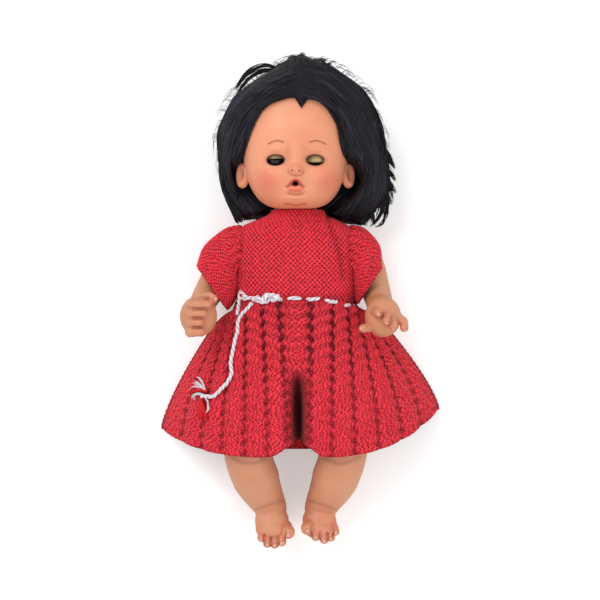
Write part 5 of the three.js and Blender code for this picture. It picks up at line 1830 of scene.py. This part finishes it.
    def ears(self) -> list[Surface]:
        """Two small ears: flattened balls turned outward and hollowed by a bell-shaped bowl, with painted
        shade in the bowl.
        """
        made = []
        for side in Side:
            s = side.value
            ball = oval((0, 0, 0), self.ear_half, 60, 84)
            lean = self.ear_lean * s
            x, y, z = ball.points.T
            c, d = math.cos(lean), math.sin(lean)
            points = np.stack([x * c + z * d, y, z * c - x * d], axis=1)
            points = points + np.array([s * (self.half_width - 0.5), self.ear, 2])
            out = unit(np.array([s * 0.75, 0, 0.66]))
            inner = hill(points[:, 0] * s, points[:, 1], (self.half_width + 2, self.ear + 0.5), (3.0, 5.6))
            lobe = hill(points[:, 0] * s, points[:, 1], (self.half_width + 1, self.ear - 8), (3, 2.5))
            outer = ease((points - points.mean(axis=0)) @ out, 0, 2.5)
            ball.points = points + out * (outer * (1.1 * lobe - 3.2 * inner))[:, None]
            # painted shade in the ear's bowl
            made.append(ball.painted(tint=washed(tone((232, 152, 118)), (132, 58, 44), 0.5 * inner * outer)))
        return made

    def neck(self) -> Surface:
        """The short neck under the head, with soft folds."""
        low, high = self.neck_ends
        line = np.linspace((0, low, NECK_Z), (0, high, NECK_Z), 40) - np.asarray(self.centre)
        radius = NECK_R - 0.15 - 0.5 * (0.5 + 0.5 * np.cos(np.linspace(0, 6 * PI, 40)))
        return tube(line, radius, 72, (0, 0, 1), False).painted(tint=tone((222, 148, 114)))

    def build(self) -> None:
        """Makes the head in one piece and places it."""
        parts = [self.shell()] + [self.eye_rim(side) for side in Side]
        for part in parts:
            part.painted(tint=self.colours(part.points))
        whole = joined(parts + self.ears() + [self.neck()])
        whole.points = whole.points + np.asarray(self.centre)
        place("head_vinyl", whole, SKIN, "head", "skin_vinyl", ("head_shell",))


@dataclass
class SleepEye:
    """A sleeping eye: a glossy globe with its iris, a painted lid over it and lashes on the lid's edge."""

    side: Side
    centre: Array
    shut: float
    globe_r: float = 8.95
    iris_r: float = 6.3
    pupil_r: float = 2.6
    lid_outer: float = 9.58
    lid_inner: float = 9.15
    lid_edge: float = 16.0
    lid_sweep: float = 96.0
    lid_half: float = 78.0
    lash_count: int = 44
    lash_half: float = 43.0
    lash_lean: float = 7.0
    lash_root: float = 9.3
    lash_length: float = 1.35
    lash_r: float = 0.3

    def turned(self, points: Array) -> Array:
        """Points of the open eye, turned about X by how far it has shut, at the eye's place."""
        a = math.radians(self.shut)
        x, y, z = points[..., 0], points[..., 1], points[..., 2]
        spun = np.stack([x, y * math.cos(a) - z * math.sin(a), y * math.sin(a) + z * math.cos(a)], axis=-1)
        return spun + self.centre

    def globe(self) -> Surface:
        """The eyeball with its pole on the iris: white, a dark rim, a brown iris and a black pupil."""
        lean = np.linspace(0.02, PI - 0.02, 70)[:, None]
        turn = full_turn(72)[None]
        flat = np.sin(lean) + 0 * turn
        ball = np.stack([flat * np.cos(turn), flat * np.sin(turn), np.cos(lean) + 0 * turn], axis=-1)
        surface = closed(self.globe_r * ball)
        x, y, z = surface.points.T
        out = np.where(z > 0, np.hypot(x, y), 20)
        ray = 0.5 + 0.5 * np.cos(np.arctan2(y, x) * 34 + np.sin(out * 3))
        brown = washed(tone((24, 18, 16)), (62, 44, 36), 0.6 * ray * ease(out, 2, 4))
        tint = washed(tone((216, 208, 200)), brown, ease(self.iris_r - out, -0.15, 0.15))
        tint = washed(tint, (20, 14, 12), bell(out - self.iris_r, 0.45))
        tint = washed(tint, (8, 7, 7), ease(self.pupil_r - out, -0.2, 0.2))
        surface.points = self.turned(surface.points)
        return surface.painted(tint=tint)

    def lid(self) -> Surface:
        """The lid: a lune of a thin ball, swept back from its straight edge, with a dark line on the edge."""
        sweep = np.radians(np.linspace(self.lid_edge, self.lid_edge + self.lid_sweep, 40))
        loop = np.concatenate([sweep, sweep[::-1]])
        radius = np.concatenate([np.full(40, self.lid_outer), np.full(40, self.lid_inner)])
        side = np.radians(np.linspace(-self.lid_half, self.lid_half, 60))[:, None]
        out = radius * np.cos(side)
        points = np.stack([radius * np.sin(side), out * np.sin(loop), out * np.cos(loop)], axis=-1)
        surface = closed(points)
        y, z = surface.points[:, 1], surface.points[:, 2]
        above = np.degrees(np.arctan2(y, z)) - self.lid_edge
        tint = washed(tone((208, 176, 124)), (196, 158, 110), ease(above, 12, 45))
        tint = washed(tint, (30, 20, 16), 0.97 * bell(above, 3.6))
        surface.points = self.turned(surface.points)
        return surface.painted(tint=tint)

    def lashes(self) -> Surface:
        """Bristles along the lid's edge that lean outward and down."""
        rng = np.random.default_rng(5)
        side = np.radians(np.linspace(-self.lash_half, self.lash_half, self.lash_count))[:, None]
        side = side + rng.normal(0, 0.012, (self.lash_count, 1))
        share = shares(6)[None]
        height = math.radians(self.lid_edge + 0.4) - math.radians(self.lash_lean) * share**1.4
        radius = self.lash_root + self.lash_length * share * (1 - 0.15 * rng.random((self.lash_count, 1)))
        out = radius * np.cos(side)
        lines = np.stack([
            radius * np.sin(side * (1 + 0.06 * share)), out * np.sin(height), out * np.cos(height)], axis=-1)
        thick = np.broadcast_to(self.lash_r * (1 - 0.7 * share), lines.shape[:2])
        return bundle(self.turned(lines), thick).painted(shade=0.3)

    def build(self) -> None:
        """Makes the globe, the lid and the lashes and places them on the eye's body."""
        word = self.side.word
        body = f"eye_{word}"
        place(f"eye_globe_{word}", self.globe(), EYE, body, "eye_white", (f"eyeball_{word}", f"iris_{word}"))
        place(f"eye_lid_{word}", self.lid(), LID, body, "lid_paint", (f"eyelid_{word}",))
        place(f"eye_lashes_{word}", self.lashes(), LASH, body, "lash_fibre", (f"eyelash_{word}",))


@dataclass
class Hair:
    """Rooted black hair: a dark under-layer over the skull and thousands of locks swept round the face."""

    head: Head
    sections: tuple[Row, ...] = (
        (-72, 37, 50, -8, -46), (-60, 46, 65, 8, -49), (-46, 54.5, 75, 18, -50), (-26, 60.5, 79, 25, -50.5),
        (-6, 64, 72, 31, -50.5), (14, 62, 68, 38, -50), (36, 51, 58, 46, -47), (50, 33.5, 47, 42, -42),
        (59, 18, 33, 35, -36), (66, 9, 22, 27, -29), (70.5, 3, 11, 14, -16),
    )
    power: float = 2.3
    hairline: dict[Side, tuple] = field(default_factory=lambda: {
        Side.RIGHT: (
            (3, 214), (-9, 215), (-21.7, 210), (-28.5, 204), (-34.4, 194), (-38.7, 184.5), (-41.5, 176),
            (-43.5, 168), (-47, 160), (-50.5, 153), (-50.5, 145), (-46, 138), (-38, 133), (-30, 126),
            (-26, 119), (-25, 111)),
        Side.LEFT: (
            (3, 214), (10.6, 214), (19, 212.5), (27.6, 205.7), (33.6, 195.5), (37, 187), (38.7, 176),
            (40.5, 167), (45, 160), (49, 153), (49.5, 145), (45, 138), (38, 133), (31, 126),
            (25, 119), (23, 111)),
    })
    outline: dict[Side, tuple] = field(default_factory=lambda: {
        Side.RIGHT: (
            (4, 248), (-7, 243), (-16, 236), (-28, 231), (-41, 222.5), (-51, 213), (-60, 198), (-65.5, 187),
            (-66, 174), (-64, 160), (-63, 142), (-59, 130), (-53, 118), (-46, 104)),
        Side.LEFT: (
            (4, 248), (12, 244), (22, 243), (33, 237), (45, 228), (56, 219), (64, 208), (70, 195), (74, 184),
            (75, 170), (75.5, 158), (76, 146), (76, 132), (74, 119), (67, 109), (58, 103)),
    })
    room: Marks = (
        (0, 120), (26, 120), (36, 114.5), (50, 108.5), (60, 105.5), (100, 104))
    face_middle: Pair = (0, 165)
    jaw_y: float = 133.0
    behind_z: float = 34.0
    guides: int = 330
    strands: int = 9
    steps: int = 9
    stray_steps: int = 16
    rng: np.random.Generator = field(default_factory=lambda: np.random.default_rng(23))

    def reach(self, y: Array) -> tuple[Array, Array, Array, Array]:
        """Middle and half sizes of the hair at a height of the head: across, then front to back."""
        table = np.asarray(self.sections, float)
        left, right, top, low = (np.interp(y, table[:, 0], table[:, i]) for i in range(1, 5))
        return (right - left) / 2, (top + low) / 2, (right + left) / 2, (top - low) / 2

    def shell_point(self, turn: Array, y: Array, lift: Array) -> Array:
        """A point round the hair at a height: a superellipse, lifted outward; turn nought faces the front."""
        cx, cz, wide, deep = self.reach(y)
        pull = 2 / self.power
        x = cx + (wide + lift) * power_of(np.sin(turn), pull)
        z = cz + (deep + lift) * power_of(np.cos(turn), pull)
        return np.stack(np.broadcast_arrays(x, y, z), axis=-1) + np.asarray(self.head.centre)

    def top(self, x: Array, y: Array) -> Array:
        """Height of the hair's upper face at a place, in the doll's frame."""
        cx, cz, wide, deep = self.reach(y - self.head.centre[1])
        inside = np.clip(1 - np.abs((x - cx) / wide) ** self.power, 0, 1)
        return self.head.centre[2] + cz + deep * inside ** (1 / self.power)

    def skin(self, x: Array, y: Array) -> Array:
        """Height of the face's skin at a place, in the doll's frame."""
        wide = np.clip(x, -43, 43)
        return self.head.centre[2] + self.head.front(wide, np.clip(y - self.head.centre[1], -56, 56))

    def clear(self, points: Array) -> Array:
        """Points kept above the room that the shoulders and the collar take round the neck."""
        r = np.hypot(points[..., 0], points[..., 2] - NECK_Z)
        low = np.interp(r, *np.asarray(self.room).T)
        points[..., 1] = np.maximum(points[..., 1], low)
        return points

    def inside_face(self, x: Array, y: Array) -> Array:
        """How far a place on the picture's plane lies inside the hairline, by its angle round the face."""
        middle = np.asarray(self.face_middle, float)
        ring = np.array([*self.hairline[Side.LEFT][::-1], *self.hairline[Side.RIGHT]], float) - middle
        angle = np.unwrap(np.arctan2(ring[:, 1], ring[:, 0]))
        order = np.argsort(angle)
        here = np.arctan2(y - middle[1], x - middle[0])
        here = np.where(here < angle.min(), here + TURN, here)
        edge = np.interp(here, angle[order], np.hypot(*ring.T)[order])
        return edge - np.hypot(x - middle[0], y - middle[1])

    def beside(self, x: Array, y: Array) -> Array:
        """Share by which hair at a place on the picture's plane lies back behind the ears and the jaw."""
        return ease(self.inside_face(x, y), -14, -1) * ease(self.face_middle[1] - y, 0, 14)

    def under_layer(self) -> Surface:
        """The dark layer under the locks: the hair's own form, sunk under the skin inside the hairline."""
        y = np.linspace(-71.5, 70, 140)[:, None]
        turn = np.linspace(-PI, PI, 264, endpoint=False)[None]
        points = self.shell_point(turn - 0.35 * np.sin(2 * turn), y, -1.6)
        x, up = picture_of(points)
        inside = self.inside_face(x, up)
        front = np.cos(turn) > 0
        behind = np.minimum(points[..., 2], self.behind_z)
        points[..., 2] = lerp(points[..., 2], behind, self.beside(x, up) * front)
        deep = lerp(self.skin(points[..., 0], points[..., 1]) - 4, 14, ease(inside, 1, 9))
        deep = np.where(points[..., 1] < self.jaw_y, np.minimum(deep, 30), deep)
        sunk = np.minimum(points[..., 2], deep)
        points[..., 2] = lerp(points[..., 2], sunk, ease(inside, -4.5, 0.5) * front)
        return closed(self.clear(points)).painted(shade=0.2)

    def each(self, low: float, high: float) -> Array:
        """One number for each clump, drawn evenly between two."""
        return self.rng.uniform(low, high, (self.guides, 1, 1))

    def drift(self, size: float) -> Array:
        """One number for each clump, drawn from a bell round nought."""
        return self.rng.normal(0, size, (self.guides, 1, 1))

    def spread(self, size: float) -> Array:
        """Small offsets of the strands of each clump, clumps by strands by one."""
        return self.rng.normal(0, size, (self.guides, self.strands, 1))

    def shades(self, most: float) -> Array:
        """A shade for each strand, its light end a painted sheen: few clumps are light, and their strands
        differ a little.
        """
        clump = self.rng.random((self.guides, 1)) ** 1.6 * most
        return (clump + 0.35 * self.rng.random((self.guides, self.strands))).reshape(-1)

    def swept(self, side: Side) -> tuple[Array, Array]:
        """Locks in front: arcs that run from the crown round the face, mixed between hairline and outline.

        Args:
            side: Which side of the face.

        Returns:
            The locks' lines, and the shade of each.
        """
        share = shares(self.steps)
        depth = self.each(0, 1) ** 0.9
        start = np.clip(self.each(-0.12, 0.66), 0, 1)
        length = self.each(0.24, 0.5)
        at = np.clip(start + length * share + self.spread(0.012), 0, 1.03)
        bends = share * self.each(2, 7)
        wave = 0.035 * np.sin(bends + self.each(0, 6))
        ends = self.drift(0.07) * share
        layer = np.clip(depth + wave + self.spread(0.03) * (1 - 0.5 * share) + ends, 0.0, 1.08)
        marks = shares(60)
        edges = [even_steps(line[side], 60).T for line in (self.hairline, self.outline)]
        x, y = (lerp(*(np.interp(at, marks, edge[i]) for edge in edges), layer) for i in (0, 1))
        flick = ease(depth, 0.7, 1) * ease(start + length, 0.55, 0.8) * share**2.5
        flick = flick * self.each(0, 9 if side is Side.LEFT else 2.5)
        x = x + side.value * flick + self.drift(4.5) * ease(0.24 - at, 0, 0.2)
        y = y - 0.25 * flick
        z = self.top(x, y)
        for _ in range(2):
            real_x, real_y = seen_at(x, y, z)
            z = self.top(real_x, real_y)
        near = ease(layer, 0.0, 0.16)
        z = lerp(np.minimum(self.skin(real_x, real_y) + 0.8, z + 3), z, near)
        z = lerp(z, np.minimum(z, self.behind_z + 2), self.beside(x, y))
        lift = self.each(0.2, 2.6) + self.spread(0.5)
        z = z + lift * np.sin(PI * (0.15 + 0.75 * share)) - 0.8 * (1 - share) ** 4
        lines = np.stack([real_x, real_y, z], axis=-1).reshape(-1, self.steps, 3)
        return self.clear(lines), self.shades(0.75)

    def fallen(self) -> tuple[Array, Array]:
        """Locks at the sides and back: they run down the hair's form from the crown to the tips."""
        share = shares(self.steps)
        turn = self.each(0.43 * PI, 1.57 * PI)
        start = self.each(-20, 69)
        end = np.maximum(start - self.each(40, 85), -71)
        y = lerp(start, end, share) + self.spread(0.8)
        sway = turn + self.spread(0.03) * (1 - 0.4 * share)
        sway = sway + self.drift(0.06) * share
        lift = self.each(-0.6, 1.6) * np.sin(PI * (0.1 + 0.8 * share))
        lift = np.minimum(lift, lerp(1.6, 0.3, ease(-np.cos(sway), 0.3, 0.8)))
        points = self.shell_point(sway, y, lift).reshape(-1, self.steps, 3)
        points[..., 2] = np.maximum(points[..., 2], 1.0)
        return self.clear(points), self.shades(0.6)

    def drawn(self, marks: Route, count: int, width: float, lift: Pair) -> Array:
        """Loose strands along a line drawn on the picture's plane, with the ends gathered.

        Args:
            marks: Places along the line.
            count: Number of strands.
            width: Half width of the bunch.
            lift: Height over the hair at the start and the end.

        Returns:
            Strands by samples by three.
        """
        line = curve_through(marks, self.stray_steps)
        share = shares(self.stray_steps)
        swell = np.sin(PI * (0.1 + 0.75 * share))
        off = self.rng.normal(0, width, (count, 1, 2)) * swell[None, :, None]
        x, y = (line[None, :, i] + off[..., i] for i in (0, 1))
        z = self.top(x, y)
        x, y = seen_at(x, y, z)
        z = np.maximum(self.top(x, y), 40) + lerp(lift[0], lift[1], share)
        return np.stack([x, y, z + self.rng.uniform(0, 1.2, (count, 1))], axis=-1)

    def loose_strands(self) -> Array:
        """The strays: two thick arcs over the crown, pointed tips down both sides, and small tufts on top."""
        bunches = []
        for arc in (((-10, 236), (-23, 241.5), (-33, 240), (-42, 234), (-51, 222)),
                    ((-10, 234), (-23, 237.5), (-36, 233), (-45, 224.5), (-53, 211))):
            bunches.append(self.drawn(arc, 34, 0.75, (0, 2)))
        left = ((82, 160), (84, 154.5), (84.4, 144), (84.5, 133.5),
                (81, 123.5), (75, 115), (66, 106), (58, 102))
        right = ((-66, 160), (-64, 148), (-61, 134), (-56, 123), (-50, 113), (-45, 106))
        for root, tips, count in ((60, left, 40), (-57, right, 22)):
            for x, y in tips:
                marks = ((root, y + 34), (lerp(root, x, 0.55), y + 14), (lerp(root, x, 0.9), y + 4.5), (x, y))
                bunches.append(self.drawn(marks, count, 1.8, (1, 0)))
        for lump in (((2, 236), (-2, 243), (-4, 248), (0, 250)), ((6, 236), (5, 244), (4, 249), (8, 250)),
                     ((16, 234), (19, 241), (22, 245), (26, 243)),
                     ((20, 232), (27, 239), (31, 240), (33, 235))):
            bunches.append(self.drawn(lump, 34, 2.2, (0, 2)))
        return self.clear(np.concatenate(bunches))

    def wisps(self) -> Array:
        """Fine flyaway hairs: each leaves the edge of the hair, rises and curls back."""
        bunches = []
        for _ in range(120):
            side = Side.LEFT if self.rng.random() < 0.5 else Side.RIGHT
            edge = even_steps(self.outline[side], 80)
            at = int(self.rng.triangular(0, 8, 62))
            away = unit(edge[at] - np.array([4, 178]))
            step = edge[min(at + 1, 79)] - edge[at]
            rise = self.rng.uniform(2, 9) * (1 if at < 34 else 0.45)
            sweep = self.rng.uniform(1, 5)
            marks = [edge[at] - away * 6]
            for up, on in ((0.7, 0.3), (1, 0.8), (0.8, 1.6)):
                marks.append(edge[at] + away * rise * up + step * sweep * on)
            bunches.append(self.drawn(marks, 2, 0.8, (0, 3)))
        return np.concatenate(bunches)

    def peak(self) -> Array:
        """The tuft that comes to a point on the forehead."""
        count = 240
        share = shares(14)
        across = self.rng.uniform(-1, 1, (count, 1))
        lean = self.rng.normal(0, 1.6, (count, 1)) * np.sin(PI * share)
        x = 5.2 + across * along((15, 14, 11, 8.5, 6, 2.2), 14)[:, 0] + lean
        root = 246 - 5 * across**2 - self.rng.uniform(0, 9, (count, 1))
        y = lerp(root, 205.5 + 7 * np.abs(across) ** 1.7, share)
        z = self.top(x, y)
        x, y = seen_at(x, y, z)
        z = np.maximum(self.top(x, y) + 0.6, self.skin(x, y) + 1.0)
        z = lerp(z, self.skin(x, y) + 0.9, ease(share, 0.6, 1))
        return np.stack([x, y, z + self.rng.uniform(0, 1.2, (count, 1))], axis=-1)

    def locks(self, lines: Array, thick: float, shade: Array) -> Surface:
        """Tapered locks along lines, thick in the middle and pointed at the tip."""
        taper = along((0.4, 0.95, 1, 0.95, 0.8, 0.5, 0.06), lines.shape[1])[:, 0]
        radii = thick * taper[None] * self.rng.uniform(0.6, 1.25, (len(lines), 1))
        return bundle(lines, radii).painted(shade=np.repeat(shade, lines.shape[1] * 3))

    def build(self) -> None:
        """Makes the under-layer and the locks and places them on the head."""
        fibre = (HAIR, "head", "hair_fibre")
        both = ("hair_left", "hair_right")
        place("hair_under", self.under_layer(), *fibre, both)
        for side in Side:
            lines, shade = self.swept(side)
            place(f"hair_locks_{side.word}", self.locks(lines, 0.8, shade), *fibre, (f"hair_{side.word}",))
        lines, shade = self.fallen()
        place("hair_locks_back", self.locks(lines, 0.95, shade), *fibre, both)
        for name, lines, thick in (("strays", self.loose_strands(), 0.5), ("wisps", self.wisps(), 0.17)):
            place(f"hair_{name}", self.locks(lines, thick, self.rng.random(len(lines)) * 0.5), *fibre)
        lines = self.peak()
        tuft = self.locks(lines, 0.6, self.rng.random(len(lines)) * 0.7)
        place("hair_peak", tuft, *fibre, ("hair_forelock",))


def dress_plain_nodes(nodes: dict[str, bpy.types.Object]) -> None:
    """Gives the parts that stay as solids their finishes.

    Args:
        nodes: The model's parts by name.
    """
    finishes = {"torso_shell": BODY, "drink_tube": TUBE}
    for side in Side:
        for part, finish in (("case", CASE), ("weight", WEIGHT), ("pin", WEIGHT)):
            finishes[f"eye_{part}_{side.word}"] = finish
    for name, finish in finishes.items():
        mesh = nodes[name].data
        mesh.materials.clear()
        mesh.materials.append(finish.material())
        LOG.info("%s dressed", name)


def arms() -> tuple[Arm, Arm]:
    """The right arm with its closed hand and the left arm with its open one."""
    fist = tuple(
        ((7.5, 5 - 7.7 * i, 12), (5, 5 - 7.7 * i, 20.5), (0, 5 - 7.7 * i, 24.5), (tip, 5 - 7.7 * i, 22))
        for i, tip in enumerate((-7.5, -4.0, -2.0, -2.5)))
    right = Arm(
        Side.RIGHT, reach=37, palm=(0.8, -5, 7.5), palm_half=(15.6, 17, 11.5), fingers=fist,
        thumb=((-3, 10, 10), (-10, 11, 16), (-12.5, 9.5, 20)), finger_hint=(0, 1, 0),
        nails=((-14.2, 9, 22.6),), creases=([(-90, 42), (-80, 45), (-70, 42)],))
    open_hand = (
        ((-5.5, -1, 18), (-5, -1.5, 24), (-4, -2.2, 29)),
        ((4, -4, 19), (3.5, -6.5, 25), (3, -9, 28)),
        ((11, -6, 17), (9.8, -10, 23), (8.8, -13.5, 25.5)),
        ((13, -6, 13), (17.5, -10, 19), (17.8, -14.5, 22)))
    left = Arm(
        Side.LEFT, reach=29, palm=(1.0, -5.5, 8), palm_half=(15.2, 17, 13), fingers=open_hand,
        thumb=((-8.5, -12, 12), (-12.5, -14.5, 17), (-16, -15, 20)), finger_hint=(1, 0, 0),
        nails=((-4, -3.4, 32.4), (2.8, -11.4, 31), (8.4, -16.6, 28), (18.2, -17.4, 24.4), (-18.5, -15.2, 23)),
        creases=([(62, 44), (72, 47), (82, 44)],))
    return right, left


def main() -> None:
    """Builds the doll's pieces in order."""
    logging.basicConfig(level=logging.INFO, format="%(name)s: %(message)s")
    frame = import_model()
    Studio().build()
    skirt = Skirt()
    Ties(skirt).build()
    skirt.build()
    Bodice().build()
    Sleeve(Side.RIGHT, ((-3, 22), (0, 25), (1, 38), (4, 47), (9, 53)),
           ((-3, -15), (0, -17), (13, -13.5), (29, 0), (35, 16))).build()
    Sleeve(Side.LEFT, ((-3, 22), (0, 25), (0.5, 36), (1.5, 43), (3.5, 48)),
           ((-3, -15), (0, -17), (11, -14), (22.5, -1), (25, 17))).build()
    for arm in arms():
        arm.build()
    head = Head()
    for side, shut in ((Side.LEFT, 26.5), (Side.RIGHT, 8.0)):
        Leg(side).build()
        SleepEye(side, head.eye_centre(side) + np.asarray(head.centre), shut).build()
    head.build()
    Hair(head).build()
    dress_plain_nodes(frame["nodes"])


if __name__ == "__main__":
    main()
